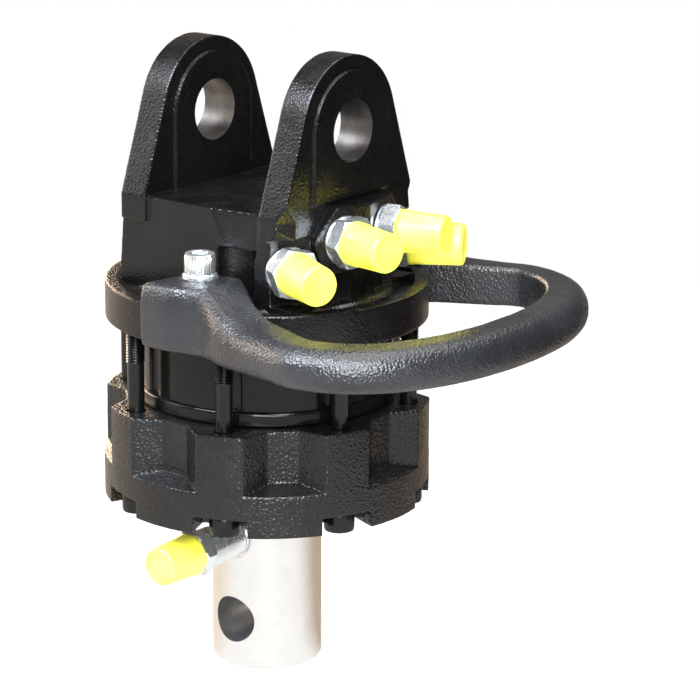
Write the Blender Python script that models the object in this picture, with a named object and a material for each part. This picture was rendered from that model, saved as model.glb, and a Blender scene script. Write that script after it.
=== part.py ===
"""Hydraulic grapple rotator: forked hanger, vane motor, plain shaft and hose guard.

Metres, +Z up along the turning axis, origin at the centre of the shaft's lower end face.
+X runs along the hanger pin, towards the side that carries the hose ports.
"""
import math

import bmesh
import bpy
from mathutils import Matrix, Vector

# Clearances
GAP = 0.0003                  # between pieces that touch
RUNNING_GAP = 0.0006          # between the rotor drum and the cam

# Heights, from the shaft's end face upwards
SHAFT_REACH = 0.0950          # shaft below the lower cap
FLANGE_HEIGHT = 0.0225        # round foot of the lower cap
LOBE_HEIGHT = 0.0312          # scalloped part of the lower cap
MOTOR_HEIGHT = 0.0433         # stator ring, between lower cap and bracket
DISC_THICKNESS = 0.0200       # round flange of the bracket
BLOCK_HEIGHT = 0.0460         # bracket block above the flange
PIN_RISE = 0.0384             # hanger pin above the block

# Rotor
SHAFT_RADIUS = 0.0295
SHAFT_CHAMFER = 0.0020
CROSS_BORE_RADIUS = 0.01275
CROSS_BORE_HEIGHT = 0.0270
DRUM_STEP = 0.0145            # drum proud of the shaft
SPIGOT_RADIUS = 0.0245
SPIGOT_GROOVE_DEPTH = 0.0020
SPIGOT_GROOVE_WIDTH = 0.0050
PASSAGE_RADIUS = 0.0035
PASSAGE_OFFSET = 0.0110
PLUG_LENGTH = 0.0045
VANE_COUNT = 6
VANE_SLOT_WIDTH = 0.0060
VANE_SLOT_DEPTH = 0.0138
VANE_LENGTH = 0.0095
SPRING_LENGTH = 0.0320
SPRING_LEAF = 0.0006

# Bearings and seals
BEARING_WALL = 0.0055
SEAL_WALL = 0.0068
WIPER_HEIGHT = 0.0037
SEAL_HEIGHT = 0.0082
THRUST_RING_THICKNESS = 0.0027
UPPER_BUSH_WALL = 0.0032
UPPER_BUSH_HEIGHT = 0.0147
SWIVEL_SEAL_WALL = 0.0024
SWIVEL_SEAL_HEIGHT = 0.0034
SWIVEL_SEAL_PITCH = 0.0120
ORING_INSET = 0.0080          # ring centre inside the stator's outer wall
ORING_SECTION = 0.0014

# Motor body
CAM_LIFT = 0.0055
CAM_LOBES = 4
STATOR_WALL = 0.0169
STATOR_FOOT = 0.0020
STATOR_FOOT_HEIGHT = 0.0075
FLUTE_RADIUS = 0.0075
FLUTE_OFFSET = 0.0050
SCREW_COUNT = 8
SCREW_LAND = 0.0035           # between stator foot and clamp screws
RIM_LAND = 0.0015             # between screw heads and the cap's rim
LOBE_HALF_ANGLE = math.radians(8.2)
RECESS_DEPTH = 0.0117
RECESS_FLOOR = 0.0158
LEDGE_RISE = 0.0040
HEAD_POCKET_WIDTH = 0.0290
UNDERCUT_DEPTH = 0.0060
EDGE_CHAMFER = 0.0010

# Screws
SCREW_RADIUS = 0.0050
SHANK_RADIUS = 0.0044
THREAD_CUT = 0.0130           # thread engaged in the bracket
THREAD_SHOWN = 0.0170         # thread below the bracket
HEAD_RADIUS = 0.0080
HEAD_HEIGHT = 0.0098
SOCKET_FLATS = 0.0080
SOCKET_DEPTH = 0.0050

# Bracket
DISC_SETBACK = 0.0015
DISC_RIM = 0.0075             # machined ring on the disc's top
DISC_TROUGH = 0.0120
DISC_TROUGH_DEPTH = 0.0035
EAR_GAP = 0.0750
EAR_THICKNESS = 0.0165
EAR_RADIUS = 0.0386
EAR_BOSS = 0.0020
EAR_BOSS_RADIUS = 0.0310
EAR_BORE_RADIUS = 0.0162
EAR_PROUD = 0.0023            # ear feet proud of the block's front
EAR_FOOT_DEPTH = 0.0130       # ear feet below the block's top
BOSS_FOOT = 0.0040            # bottom of the outer bosses above the block
BLOCK_DEPTH = 0.1040
BLOCK_FLARE = 0.0035
BLOCK_ROOF = 0.0050           # metal over the swivel bore
SPIGOT_TOP_GAP = 0.0010
FRONT_STEP = 0.0040
FRONT_STEP_START = 0.0040
FRONT_STEP_SLANT = 0.0120
FRONT_POCKET_RADIUS = 0.0120
FRONT_POCKET_X = 0.0215
FRONT_POCKET_HEIGHT = 0.0265

# Hose ports: the low pair turns the motor, the high pair feeds the grapple
LOW_PORT_ANGLE = math.radians(26.5)
LOW_PORT_RISE = 0.0180
LOW_PORT_FACE = 0.0620
LOW_PORT_OFFSET = 0.0168
LOW_SPOTFACE_RADIUS = 0.0148
LOW_FACET_HEIGHT = 0.0350     # upright facet round each low port
# Corners taken off above that facet: height over the disc, x at the front, y at the side
NEAR_CORNER = ((0.0310, 0.0430, 0.0441), (0.0440, 0.0487, 0.0450), (0.0670, 0.0544, 0.0462))
FAR_CORNER = ((0.0310, 0.0518, 0.0518), (0.0440, 0.0514, 0.0508), (0.0670, 0.0544, 0.0480))
CORNER_PAST = 0.0060          # how far the cut runs past the block
HIGH_PORT_ANGLE = math.radians(14.5)
HIGH_PORT_RISE = 0.0313
HIGH_PORT_FACE = 0.0651
HIGH_PORT_OFFSET = 0.0100     # half-width of the web below the high ports
PORT_PAD_RADIUS = 0.0175      # lower half of each pad
PORT_PAD_RISE = 0.0170        # flat top of the pads over the ports' centres
NEAR_PAD = (0.0040, 0.0175)   # sideways reach of the pad's top and of its flank
FAR_PAD = (0.0125, 0.0225)
PORT_THREAD_RADIUS = 0.0080
PORT_THREAD_DEPTH = 0.0120
DRILLING_RADIUS = 0.0038

# Adaptors, their seals and plastic caps
HEX_FLATS = 0.0243
HEX_LENGTH = 0.0087
BONDED_SEAL_RADIUS = 0.0128
BONDED_SEAL_THICKNESS = 0.0018
STUB_RADIUS = 0.0091
STUB_LENGTH = 0.0150
ADAPTOR_BORE = 0.0050
CAP_BASE_RADIUS = 0.0113
CAP_END_RADIUS = 0.0102
CAP_LENGTH = 0.0245
CAP_END_WALL = 0.0018
CAP_EDGE = 0.0005
LARGE_CAP_EXTRA = 0.0009      # radius added to the cap on the last port
LARGE_CAP_LENGTH = 0.0290
SHAFT_PORT_DROP = 0.0215      # below the lower cap
SHAFT_SPOTFACE_RADIUS = 0.0117
SHAFT_SPOTFACE_DEPTH = 0.0026
SHAFT_COLLAR_RADIUS = 0.0100
SHAFT_COLLAR_LENGTH = 0.0173
SHAFT_SHOULDER_RADIUS = 0.0109
SHAFT_SHOULDER_LENGTH = 0.0094
SHAFT_HEX_FLATS = 0.0220
SHAFT_HEX_LENGTH = 0.0080

# Guard loop
LOOP_REACH = 0.1690           # outer end of the loop, along +X
LOOP_HALF_WIDTH = 0.1115
LOOP_CENTRE = 0.0975
LOOP_SQUARENESS = 2.15
BAR_WIDTH = 0.0226
BAR_BELOW_DISC = -0.0003
BAR_ABOVE_DISC = 0.0014
BAR_ROUND_WIDTH = 0.0100
BAR_ROUND_HEIGHT = 0.0075
BAR_UNDER_WIDTH = 0.0050
BAR_UNDER_HEIGHT = 0.0065
BAR_EDGE = 0.0015
LUG_ROUND = 0.45              # share of the bar's rounding that the lug has
LUG_WRAP = 0.0065             # lug outside the disc's rim
LUG_SKIRT = 0.0015            # lug below the disc
LUG_RISE = 0.0130
LUG_PAD_RISE = 0.0008
LUG_PAD_RADIUS = 0.0095
LUG_END = 0.0010              # inner end of the lug, left of the turning axis
LUG_END_SLANT = 0.0080
LUG_SHOULDER = 0.0260         # where the lug's top starts to fall
GUARD_SCREW_X = 0.0100
GUARD_SCREW_INSET = 0.0146    # outside the block's front face
GUARD_THREAD = 0.0125
WASHER_RADIUS = 0.0090
WASHER_THICKNESS = 0.0020

# Facets
ROUND = 64
BORE = 36
SMALL = 20
TINY = 1e-9
WELD = 2e-6

# Levels and radii that follow
cap_bottom = SHAFT_REACH
ledge_z = cap_bottom + FLANGE_HEIGHT
cap_top = ledge_z + LOBE_HEIGHT
disc_bottom = cap_top + MOTOR_HEIGHT
disc_top = disc_bottom + DISC_THICKNESS
block_top = disc_top + BLOCK_HEIGHT
pin_z = block_top + PIN_RISE
drum_radius = SHAFT_RADIUS + DRUM_STEP
cam_minor = drum_radius + RUNNING_GAP
stator_radius = cam_minor + CAM_LIFT + STATOR_WALL
stator_foot_radius = stator_radius + STATOR_FOOT
screw_circle = stator_foot_radius + SCREW_LAND + SCREW_RADIUS
body_radius = screw_circle + HEAD_RADIUS + RIM_LAND
disc_radius = body_radius - DISC_SETBACK
head_seat = cap_bottom + HEAD_HEIGHT - EDGE_CHAMFER + GAP
motor_low = cap_top + GAP
motor_high = disc_bottom - GAP
bore_top = block_top - BLOCK_ROOF
spigot_top = bore_top - SPIGOT_TOP_GAP
low_port_z = disc_top + LOW_PORT_RISE
high_port_z = disc_top + HIGH_PORT_RISE
groove_zs = (high_port_z, high_port_z - SWIVEL_SEAL_PITCH)
swivel_seal_zs = tuple(high_port_z + SWIVEL_SEAL_PITCH * (0.5 - i) for i in range(3))
block_half_x = EAR_GAP / 2 + EAR_THICKNESS
block_half_y = BLOCK_DEPTH / 2
oring_radius = stator_radius - ORING_INSET
shaft_port_z = cap_bottom - SHAFT_PORT_DROP
shaft_flat = SHAFT_RADIUS - SHAFT_SPOTFACE_DEPTH
bush_bottom = cap_bottom + WIPER_HEIGHT + SEAL_HEIGHT + 4 * GAP
thrust_seat = cap_top - THRUST_RING_THICKNESS - GAP
bush_top = thrust_seat - GAP
upper_bush_top = disc_bottom + UPPER_BUSH_HEIGHT
lug_top = disc_top + LUG_RISE
pad_top = lug_top + LUG_PAD_RISE
guard_screw_y = block_half_y + GUARD_SCREW_INSET
screw_angles = [math.tau * (i + 0.5) / SCREW_COUNT for i in range(SCREW_COUNT)]


def material(name, colour, metallic, roughness):
    """One Principled material in the piece's own colour."""
    made = bpy.data.materials.new(name)
    made.use_nodes = True
    shader = made.node_tree.nodes["Principled BSDF"]
    shader.inputs["Base Color"].default_value = (*colour, 1.0)
    shader.inputs["Metallic"].default_value = metallic
    shader.inputs["Roughness"].default_value = roughness
    made.diffuse_color = (*colour, 1.0)
    return made


def revolve(profile, steps=ROUND):
    """Turn a closed (radius, height) outline round Z; its ends on the axis become flat faces."""
    bm = bmesh.new()
    rings = []
    for radius, height in profile:
        if radius < TINY:
            rings.append([bm.verts.new((0, 0, height))])
            continue
        turns = (math.tau * i / steps for i in range(steps))
        rings.append([bm.verts.new((radius * math.cos(a), radius * math.sin(a), height)) for a in turns])
    for low, high in zip(rings, rings[1:] + rings[:1]):
        if len(low) == len(high) == 1:
            continue
        if 1 in (len(low), len(high)):
            bm.faces.new(low if len(high) == 1 else high)
            continue
        for i in range(steps):
            j = (i + 1) % steps
            bm.faces.new((low[i], low[j], high[j], high[i]))
    for vert in [v for v in bm.verts if not v.link_faces]:
        bm.verts.remove(vert)
    bmesh.ops.recalc_face_normals(bm, faces=bm.faces)
    return bm


def stack(outlines):
    """Join outlines of equal point count, lowest first, into a closed solid."""
    bm = bmesh.new()
    rings = [[bm.verts.new(point) for point in outline] for outline in outlines]
    for low, high in zip(rings, rings[1:]):
        for i in range(len(low)):
            j = (i + 1) % len(low)
            bm.faces.new((low[i], low[j], high[j], high[i]))
    bm.faces.new(rings[0])
    bm.faces.new(rings[-1])
    bmesh.ops.recalc_face_normals(bm, faces=bm.faces)
    return bm


def prism(outline, low, high):
    """Extrude a flat (x, y) outline between two heights."""
    return stack([[(x, y, z) for x, y in outline] for z in (low, high)])


def tube(levels):
    """Wall between outer and inner outlines given at rising heights."""
    bm = bmesh.new()
    walls = []
    for side in (1, 2):
        walls.append([[bm.verts.new((x, y, level[0])) for x, y in level[side]] for level in levels])
    for rings in walls:
        for low, high in zip(rings, rings[1:]):
            for i in range(len(low)):
                j = (i + 1) % len(low)
                bm.faces.new((low[i], low[j], high[j], high[i]))
    for end in (0, -1):
        outer, inner = walls[0][end], walls[1][end]
        for i in range(len(outer)):
            j = (i + 1) % len(outer)
            bm.faces.new((outer[i], outer[j], inner[j], inner[i]))
    bmesh.ops.recalc_face_normals(bm, faces=bm.faces)
    return bm


def box(low, high):
    """Upright box between two corners."""
    (x0, y0, z0), (x1, y1, z1) = low, high
    return prism([(x0, y0), (x1, y0), (x1, y1), (x0, y1)], z0, z1)


def rod(radius, low, high, steps=SMALL):
    """Plain cylinder on Z."""
    return revolve([(0, low), (radius, low), (radius, high), (0, high)], steps)


def hexagon(flats):
    """Outline of a hexagon of the given width across flats."""
    corner = flats / math.sqrt(3)
    return [(corner * math.cos(a), corner * math.sin(a)) for a in (math.tau * i / 6 for i in range(6))]


def solid(name, bm, finish=None, matrix=None):
    """Make an object of a bmesh, with its mesh placed by matrix."""
    if matrix is not None:
        bm.transform(matrix)
    mesh = bpy.data.meshes.new(name)
    bm.to_mesh(mesh)
    bm.free()
    made = bpy.data.objects.new(name, mesh)
    bpy.context.scene.collection.objects.link(made)
    if finish is not None:
        mesh.materials.append(finish)
    return made


def weld(mesh):
    """Close the hairline splits that a Boolean can leave."""
    bm = bmesh.new()
    bm.from_mesh(mesh)
    bmesh.ops.remove_doubles(bm, verts=bm.verts, dist=WELD)
    bmesh.ops.dissolve_degenerate(bm, edges=bm.edges, dist=WELD)
    bm.to_mesh(mesh)
    bm.free()


def combine(target, operation, *shapes):
    """Add bmeshes to the target or cut them from it, one Boolean each."""
    for bm in shapes:
        tool = solid("tool", bm)
        modifier = target.modifiers.new("shape", 'BOOLEAN')
        modifier.operation = operation
        modifier.solver = 'EXACT'
        modifier.object = tool
        graph = bpy.context.evaluated_depsgraph_get()
        mesh = bpy.data.meshes.new_from_object(target.evaluated_get(graph))
        weld(mesh)
        old_mesh, tool_mesh = target.data, tool.data
        target.modifiers.clear()
        target.data = mesh
        bpy.data.objects.remove(tool)
        bpy.data.meshes.remove(tool_mesh)
        bpy.data.meshes.remove(old_mesh)
        mesh.name = target.name


def add(target, *shapes):
    combine(target, 'UNION', *shapes)


def cut(target, *shapes):
    combine(target, 'DIFFERENCE', *shapes)


def merged(shapes):
    """One bmesh of several that stay clear of each other."""
    whole = bmesh.new()
    for bm in shapes:
        part = bpy.data.meshes.new("part")
        bm.to_mesh(part)
        bm.free()
        whole.from_mesh(part)
        bpy.data.meshes.remove(part)
    return whole


def shade(made):
    """Smooth round faces and keep real edges sharp."""
    made.data.shade_smooth()
    made.data.set_sharp_from_angle(angle=math.radians(35))


def spin(angle):
    return Matrix.Rotation(angle, 4, 'Z')


def aim(origin, angle):
    """Frame whose Z points outwards at an angle round the turning axis."""
    return Matrix.Translation(origin) @ spin(angle) @ Matrix.Rotation(math.pi / 2, 4, 'Y')


def faceted(bm):
    """Split a bmesh into triangles, for one whose faces aren't flat."""
    bmesh.ops.triangulate(bm, faces=bm.faces)
    return bm


def placed(bm, matrix):
    bm.transform(matrix)
    return bm


def ports():
    """Origin and angle of each hose port's seat, near low port first."""
    seats = []
    for angle, face, offset, z in (
        (-LOW_PORT_ANGLE, LOW_PORT_FACE, -LOW_PORT_OFFSET, low_port_z),
        (-HIGH_PORT_ANGLE, HIGH_PORT_FACE, 0, high_port_z),
        (HIGH_PORT_ANGLE, HIGH_PORT_FACE, 0, high_port_z),
        (LOW_PORT_ANGLE, LOW_PORT_FACE, LOW_PORT_OFFSET, low_port_z),
    ):
        out = Vector((math.cos(angle), math.sin(angle), 0))
        along = Vector((-math.sin(angle), math.cos(angle), 0))
        seats.append((out * face + along * offset + Vector((0, 0, z)), angle))
    return seats


def ear_outline(radius, foot_half, foot_z, low):
    """(y, z) outline of an ear: round head, sides that run straight to the foot."""
    drop = pin_z - foot_z
    reach = math.hypot(foot_half, drop)
    if reach > radius * 1.001:
        touch = math.atan2(-drop, foot_half) + math.acos(radius / reach)
    else:
        touch = 0.0
    steps = 18
    arc = [touch + (math.pi - 2 * touch) * i / steps for i in range(steps + 1)]
    head = [(radius * math.cos(a), pin_z + radius * math.sin(a)) for a in arc]
    return [(foot_half, low), (foot_half, foot_z), *head, (-foot_half, foot_z), (-foot_half, low)]


def along_x(outline, low, high):
    """Extrude a (y, z) outline between two x places."""
    return stack([[(x, y, z) for y, z in outline] for x in (low, high)])


def corner_cut(levels, side):
    """Wedge that takes off the block's outer corner, deeper towards the low port."""
    front = block_half_y + EAR_PROUD
    outlines = []
    for height, front_x, side_y in levels:
        start = Vector((front_x, side * front))
        end = Vector((max(front_x, block_half_x), side * side_y))
        run = (end - start).normalized() * CORNER_PAST
        outside = Vector((block_half_x + CORNER_PAST, side * (front + CORNER_PAST)))
        outlines.append([(*point, disc_top + height) for point in (start - run, end + run, outside)])
    return faceted(stack(outlines))


def port_pad(reaches, side):
    """Pad of a high port, in the port's own frame: flat top, 45 degree shoulder, round below."""
    top_reach, flank_reach = reaches
    web = HIGH_PORT_FACE * math.tan(HIGH_PORT_ANGLE)
    turns = [math.radians(-18.75) * i for i in range(9)]
    low = [(PORT_PAD_RADIUS * math.cos(a), PORT_PAD_RADIUS * math.sin(a)) for a in turns]
    outline = [(-web, PORT_PAD_RISE), (top_reach, PORT_PAD_RISE),
               (flank_reach, PORT_PAD_RISE - flank_reach + top_reach), *low, (-web, low[-1][1])]
    return prism([(-rise, side * reach) for reach, rise in outline], -HIGH_PORT_FACE / 3, 0)


def make_bracket(finish):
    """Ears, port block and round flange: one casting."""
    trough_out = disc_radius - DISC_RIM
    trough_in = trough_out - DISC_TROUGH
    floor = disc_top - DISC_TROUGH_DEPTH
    profile = [
        (0, disc_bottom), (disc_radius - EDGE_CHAMFER, disc_bottom),
        (disc_radius, disc_bottom + EDGE_CHAMFER), (disc_radius, disc_top - EDGE_CHAMFER),
        (disc_radius - EDGE_CHAMFER, disc_top), (trough_out, disc_top),
        (trough_out - DISC_TROUGH_DEPTH / 2, floor), (trough_in + DISC_TROUGH_DEPTH / 2, floor),
        (trough_in, disc_top - DISC_TROUGH_DEPTH / 2), (0, disc_top - DISC_TROUGH_DEPTH / 2),
    ]
    bracket = solid("upper_bracket", revolve(profile), finish)
    inside = disc_bottom + DISC_THICKNESS / 2
    base_half_x = block_half_x + BLOCK_FLARE
    corners = [(-1, -1), (1, -1), (1, 1), (-1, 1)]
    add(bracket, stack([[(x * half, y * block_half_y, z) for x, y in corners]
                        for half, z in ((base_half_x, inside), (base_half_x, disc_top), (block_half_x, block_top))]))
    plate = ear_outline(EAR_RADIUS, block_half_y + EAR_PROUD, block_top, block_top - EAR_FOOT_DEPTH)
    boss = ear_outline(EAR_BOSS_RADIUS, EAR_BOSS_RADIUS, pin_z, block_top + BOSS_FOOT)
    for side in (-1, 1):
        inner, outer = side * EAR_GAP / 2, side * block_half_x
        add(bracket, along_x(plate, *sorted((inner, outer))))
        faces = (inner - side * EAR_BOSS, outer + side * EAR_BOSS)
        add(bracket, along_x(boss, *sorted(faces)))
        inner_foot = [(EAR_BOSS_RADIUS, block_top - EAR_BOSS), (EAR_BOSS_RADIUS, pin_z),
                      (-EAR_BOSS_RADIUS, pin_z), (-EAR_BOSS_RADIUS, block_top - EAR_BOSS)]
        add(bracket, along_x(inner_foot, *sorted((faces[0], inner + side * EAR_BOSS))))

    # Facets of the low ports, the corners above them, then the pads of the high ports
    seats = ports()
    for (origin, angle), side, levels in ((seats[0], -1, NEAR_CORNER), (seats[3], 1, FAR_CORNER)):
        facet = box((LOW_PORT_FACE, -block_half_x, disc_top + GAP),
                    (body_radius, block_half_x, disc_top + LOW_FACET_HEIGHT))
        cut(bracket, placed(facet, spin(angle)), corner_cut(levels, side))
    for (origin, angle), side, reaches in ((seats[1], -1, NEAR_PAD), (seats[2], 1, FAR_PAD)):
        add(bracket, placed(port_pad(reaches, side), aim(origin, angle)))
    ridge = [(HIGH_PORT_FACE / 2, -HIGH_PORT_OFFSET), (HIGH_PORT_FACE * math.cos(HIGH_PORT_ANGLE), -HIGH_PORT_OFFSET),
             (HIGH_PORT_FACE * math.cos(HIGH_PORT_ANGLE), HIGH_PORT_OFFSET), (HIGH_PORT_FACE / 2, HIGH_PORT_OFFSET)]
    add(bracket, prism(ridge, inside, high_port_z + PORT_PAD_RADIUS / 2))
    screw_pads = [(GUARD_SCREW_X, side * guard_screw_y) for side in (-1, 1)]
    for x, y in screw_pads:
        pad = rod(HEAD_RADIUS * 1.5, inside, disc_top, SMALL)
        add(bracket, placed(pad, Matrix.Translation((x, y, 0))))

    # Stepped front face with its cast pocket
    past = EAR_BOSS
    pocket_top = disc_top + FRONT_POCKET_HEIGHT
    right = EAR_GAP / 2 - EAR_BOSS * 1.5
    for side in (-1, 1):
        front = side * block_half_y
        back, ahead = front - side * FRONT_STEP, front + side * past
        shallow = front - side * GAP
        step = [[(FRONT_STEP_START + slant, ahead, z), (right, ahead, z), (right, back, z),
                 (FRONT_STEP_START + slant, shallow, z)]
                for slant, z in ((FRONT_STEP_SLANT, pocket_top - past), (0, block_top + past))]
        cut(bracket, faceted(stack(step)))
        pocket = rod(FRONT_POCKET_RADIUS, disc_top + GAP, pocket_top, SMALL)
        cut(bracket, placed(pocket, Matrix.Translation((FRONT_POCKET_X, ahead, 0))))

    # Machining: port faces, threads and drillings
    reach = body_radius
    for origin, angle in (seats[0], seats[3]):
        cut(bracket, placed(rod(LOW_SPOTFACE_RADIUS, 0, reach, BORE), aim(origin, angle)))
        thread = rod(PORT_THREAD_RADIUS + GAP, -PORT_THREAD_DEPTH - EDGE_CHAMFER, reach)
        cut(bracket, placed(thread, aim(origin, angle)))
        drop = origin - aim(origin, angle).to_3x3() @ Vector((0, 0, PORT_THREAD_DEPTH))
        feed = rod(DRILLING_RADIUS, disc_bottom - EDGE_CHAMFER, low_port_z, 16)
        cut(bracket, placed(feed, Matrix.Translation((drop.x, drop.y, 0))))
    for (origin, angle), groove_z in zip(seats[1:3], groove_zs):
        thread = rod(PORT_THREAD_RADIUS + GAP, -PORT_THREAD_DEPTH - EDGE_CHAMFER, reach)
        cut(bracket, placed(thread, aim(origin, angle)))
        start = aim(origin, angle) @ Vector((0, 0, -PORT_THREAD_DEPTH + EDGE_CHAMFER))
        end = Vector((math.cos(angle) * SPIGOT_RADIUS, math.sin(angle) * SPIGOT_RADIUS, groove_z))
        run = end - start
        turn = run.to_track_quat('Z', 'Y').to_matrix().to_4x4()
        cut(bracket, placed(rod(DRILLING_RADIUS, 0, run.length, 16), Matrix.Translation(start) @ turn))

    # Machining: swivel bore, screw threads, seal groove and pin bores
    bush_bore = SPIGOT_RADIUS + UPPER_BUSH_WALL + 2 * GAP
    swivel_bore = SPIGOT_RADIUS + 2 * GAP
    groove = SPIGOT_RADIUS + SWIVEL_SEAL_WALL + 2 * GAP
    profile = [(0, disc_bottom - EDGE_CHAMFER), (bush_bore, disc_bottom - EDGE_CHAMFER),
               (bush_bore, upper_bush_top + GAP), (swivel_bore, upper_bush_top + GAP)]
    for z in reversed(swivel_seal_zs):
        half = SWIVEL_SEAL_HEIGHT / 2 + GAP
        profile += [(swivel_bore, z - half), (groove, z - half), (groove, z + half), (swivel_bore, z + half)]
    profile += [(swivel_bore, bore_top), (0, bore_top)]
    cut(bracket, revolve(profile, BORE))
    threads = [placed(rod(SCREW_RADIUS + GAP, disc_bottom - EDGE_CHAMFER, disc_bottom + THREAD_CUT + GAP, 16),
                      Matrix.Translation((screw_circle * math.cos(a), screw_circle * math.sin(a), 0)))
               for a in screw_angles]
    for x, y in screw_pads:
        guard_thread = rod(SCREW_RADIUS + GAP, disc_top - GUARD_THREAD - GAP, disc_top + EDGE_CHAMFER, 16)
        threads.append(placed(guard_thread, Matrix.Translation((x, y, 0))))
    cut(bracket, merged(threads))
    cut(bracket, oring_groove(disc_bottom, 1))
    bore = placed(rod(EAR_BORE_RADIUS, -disc_radius, disc_radius, 40), aim((0, 0, pin_z), 0))
    cut(bracket, bore)
    return bracket


def oring_groove(face_z, side):
    """Groove for a cover seal, cut upwards (side 1) or downwards (side -1) into a face."""
    half = ORING_SECTION + GAP
    low, high = sorted((face_z - side * half, face_z + side * (2 * ORING_SECTION - GAP)))
    return revolve([(oring_radius - half, low), (oring_radius + half, low),
                    (oring_radius + half, high), (oring_radius - half, high)], BORE)


def make_oring(name, centre_z, finish):
    """Round-section ring."""
    section = ORING_SECTION - GAP
    outline = [(oring_radius + section * math.cos(a), centre_z + section * math.sin(a))
               for a in (math.tau * i / 6 for i in range(6))]
    return solid(name, revolve(outline, BORE), finish)


def make_stator(finish):
    """Cam ring with screw flutes outside and the vane track inside."""
    count = 96
    turns = [math.tau * i / count for i in range(count)]

    def outside(angle):
        pitch = math.tau / SCREW_COUNT
        away = (angle % pitch) - pitch / 2
        centre = stator_radius + FLUTE_OFFSET
        across = centre * math.sin(away)
        if abs(across) >= FLUTE_RADIUS:
            return stator_radius
        return min(stator_radius, centre * math.cos(away) - math.sqrt(FLUTE_RADIUS ** 2 - across ** 2))

    def ring(radius_at):
        return [(radius_at(a) * math.cos(a), radius_at(a) * math.sin(a)) for a in turns]

    cam = ring(lambda a: cam_minor + CAM_LIFT * (1 - math.cos(CAM_LOBES * a)) / 2)
    foot = ring(lambda a: stator_foot_radius)
    body = ring(outside)
    foot_top = motor_low + STATOR_FOOT_HEIGHT
    levels = [(motor_low, foot, cam), (foot_top - EDGE_CHAMFER, foot, cam),
              (foot_top, body, cam), (motor_high, body, cam)]
    return solid("stator_ring", tube(levels), finish)


def lobe_outline():
    """Scalloped plan of the lower cap: round lobes and three-faceted recesses."""
    pitch = math.tau / SCREW_COUNT
    points = []
    floor_radius = math.hypot(body_radius - RECESS_DEPTH, RECESS_FLOOR / 2)
    floor_angle = math.atan2(RECESS_FLOOR / 2, body_radius - RECESS_DEPTH)
    for lobe in screw_angles:
        for i in range(5):
            points.append((body_radius, lobe + LOBE_HALF_ANGLE * (i / 2 - 1)))
        middle = lobe + pitch / 2
        points.append((floor_radius, middle - floor_angle))
        points.append((floor_radius, middle + floor_angle))
    return [(r * math.cos(a), r * math.sin(a)) for r, a in points]


def make_lower_cap(finish):
    """Scalloped end casting that holds the lower bearing and the screw heads."""
    inset = body_radius - RECESS_DEPTH - EDGE_CHAMFER
    foot = [(0, cap_bottom), (body_radius - EDGE_CHAMFER, cap_bottom),
            (body_radius, cap_bottom + EDGE_CHAMFER), (body_radius, ledge_z),
            (inset, ledge_z + LEDGE_RISE), (0, ledge_z + LEDGE_RISE)]
    cap = solid("lower_cap", revolve(foot), finish)
    add(cap, prism(lobe_outline(), ledge_z - FLANGE_HEIGHT / 3, cap_top))
    bush_bore = SHAFT_RADIUS + BEARING_WALL + 2 * GAP
    seal_bore = SHAFT_RADIUS + SEAL_WALL + 2 * GAP
    below = cap_bottom - EDGE_CHAMFER
    above = cap_top + EDGE_CHAMFER
    profile = [(0, below), (seal_bore, below), (seal_bore, bush_bottom - GAP), (bush_bore, bush_bottom - GAP),
               (bush_bore, thrust_seat), (drum_radius, thrust_seat), (drum_radius, above), (0, above)]
    cut(cap, revolve(profile, BORE))
    cut(cap, oring_groove(cap_top, -1))
    web_in = seal_bore + BEARING_WALL
    web_out = screw_circle - HEAD_RADIUS - BEARING_WALL
    cut(cap, revolve([(web_in, below), (web_out, below), (web_out - EDGE_CHAMFER, cap_bottom + UNDERCUT_DEPTH),
                      (web_in + EDGE_CHAMFER, cap_bottom + UNDERCUT_DEPTH)], BORE))
    half = HEAD_POCKET_WIDTH / 2
    pockets = [placed(box((screw_circle - HEAD_RADIUS - RIM_LAND, -half, below),
                          (body_radius + RIM_LAND, half, head_seat)), spin(a)) for a in screw_angles]
    cut(cap, merged(pockets))
    holes = [placed(rod(SCREW_RADIUS + GAP, below, above, 16),
                    Matrix.Translation((screw_circle * math.cos(a), screw_circle * math.sin(a), 0)))
             for a in screw_angles]
    cut(cap, merged(holes))
    return cap


def make_socket_screw(name, head_low, head_high, tip, shank, finish, place, facing):
    """Socket head screw; facing is 1 where the socket looks up and -1 where it looks down."""
    chamfer = EDGE_CHAMFER
    seat, top = (head_low, head_high) if facing == 1 else (head_high, head_low)
    shank_radius, thread_start = shank
    profile = [(0, tip), (SCREW_RADIUS - chamfer, tip), (SCREW_RADIUS, tip - facing * -chamfer)]
    if thread_start is not None:
        profile += [(SCREW_RADIUS, thread_start), (shank_radius, thread_start + facing * chamfer / 2),
                    (shank_radius, seat)]
    else:
        profile += [(SCREW_RADIUS, seat)]
    profile += [(HEAD_RADIUS, seat), (HEAD_RADIUS, top - facing * chamfer), (HEAD_RADIUS - chamfer, top), (0, top)]
    screw = solid(name, revolve(profile, 20), finish, place)
    low, high = sorted((top - facing * SOCKET_DEPTH, top + facing * chamfer))
    cut(screw, placed(prism(hexagon(SOCKET_FLATS), low, high), place))
    return screw


def make_clamp_screws(finish):
    """Long screws that pull the lower cap and the stator up against the bracket."""
    tip = disc_bottom + THREAD_CUT
    for number, angle in enumerate(screw_angles, 1):
        place = Matrix.Translation((screw_circle * math.cos(angle), screw_circle * math.sin(angle), 0))
        low = head_seat - GAP - HEAD_HEIGHT
        make_socket_screw(f"clamp_screw_{number}", low, head_seat - GAP, tip,
                          (SHANK_RADIUS, disc_bottom - THREAD_SHOWN), finish, place, -1)


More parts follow.
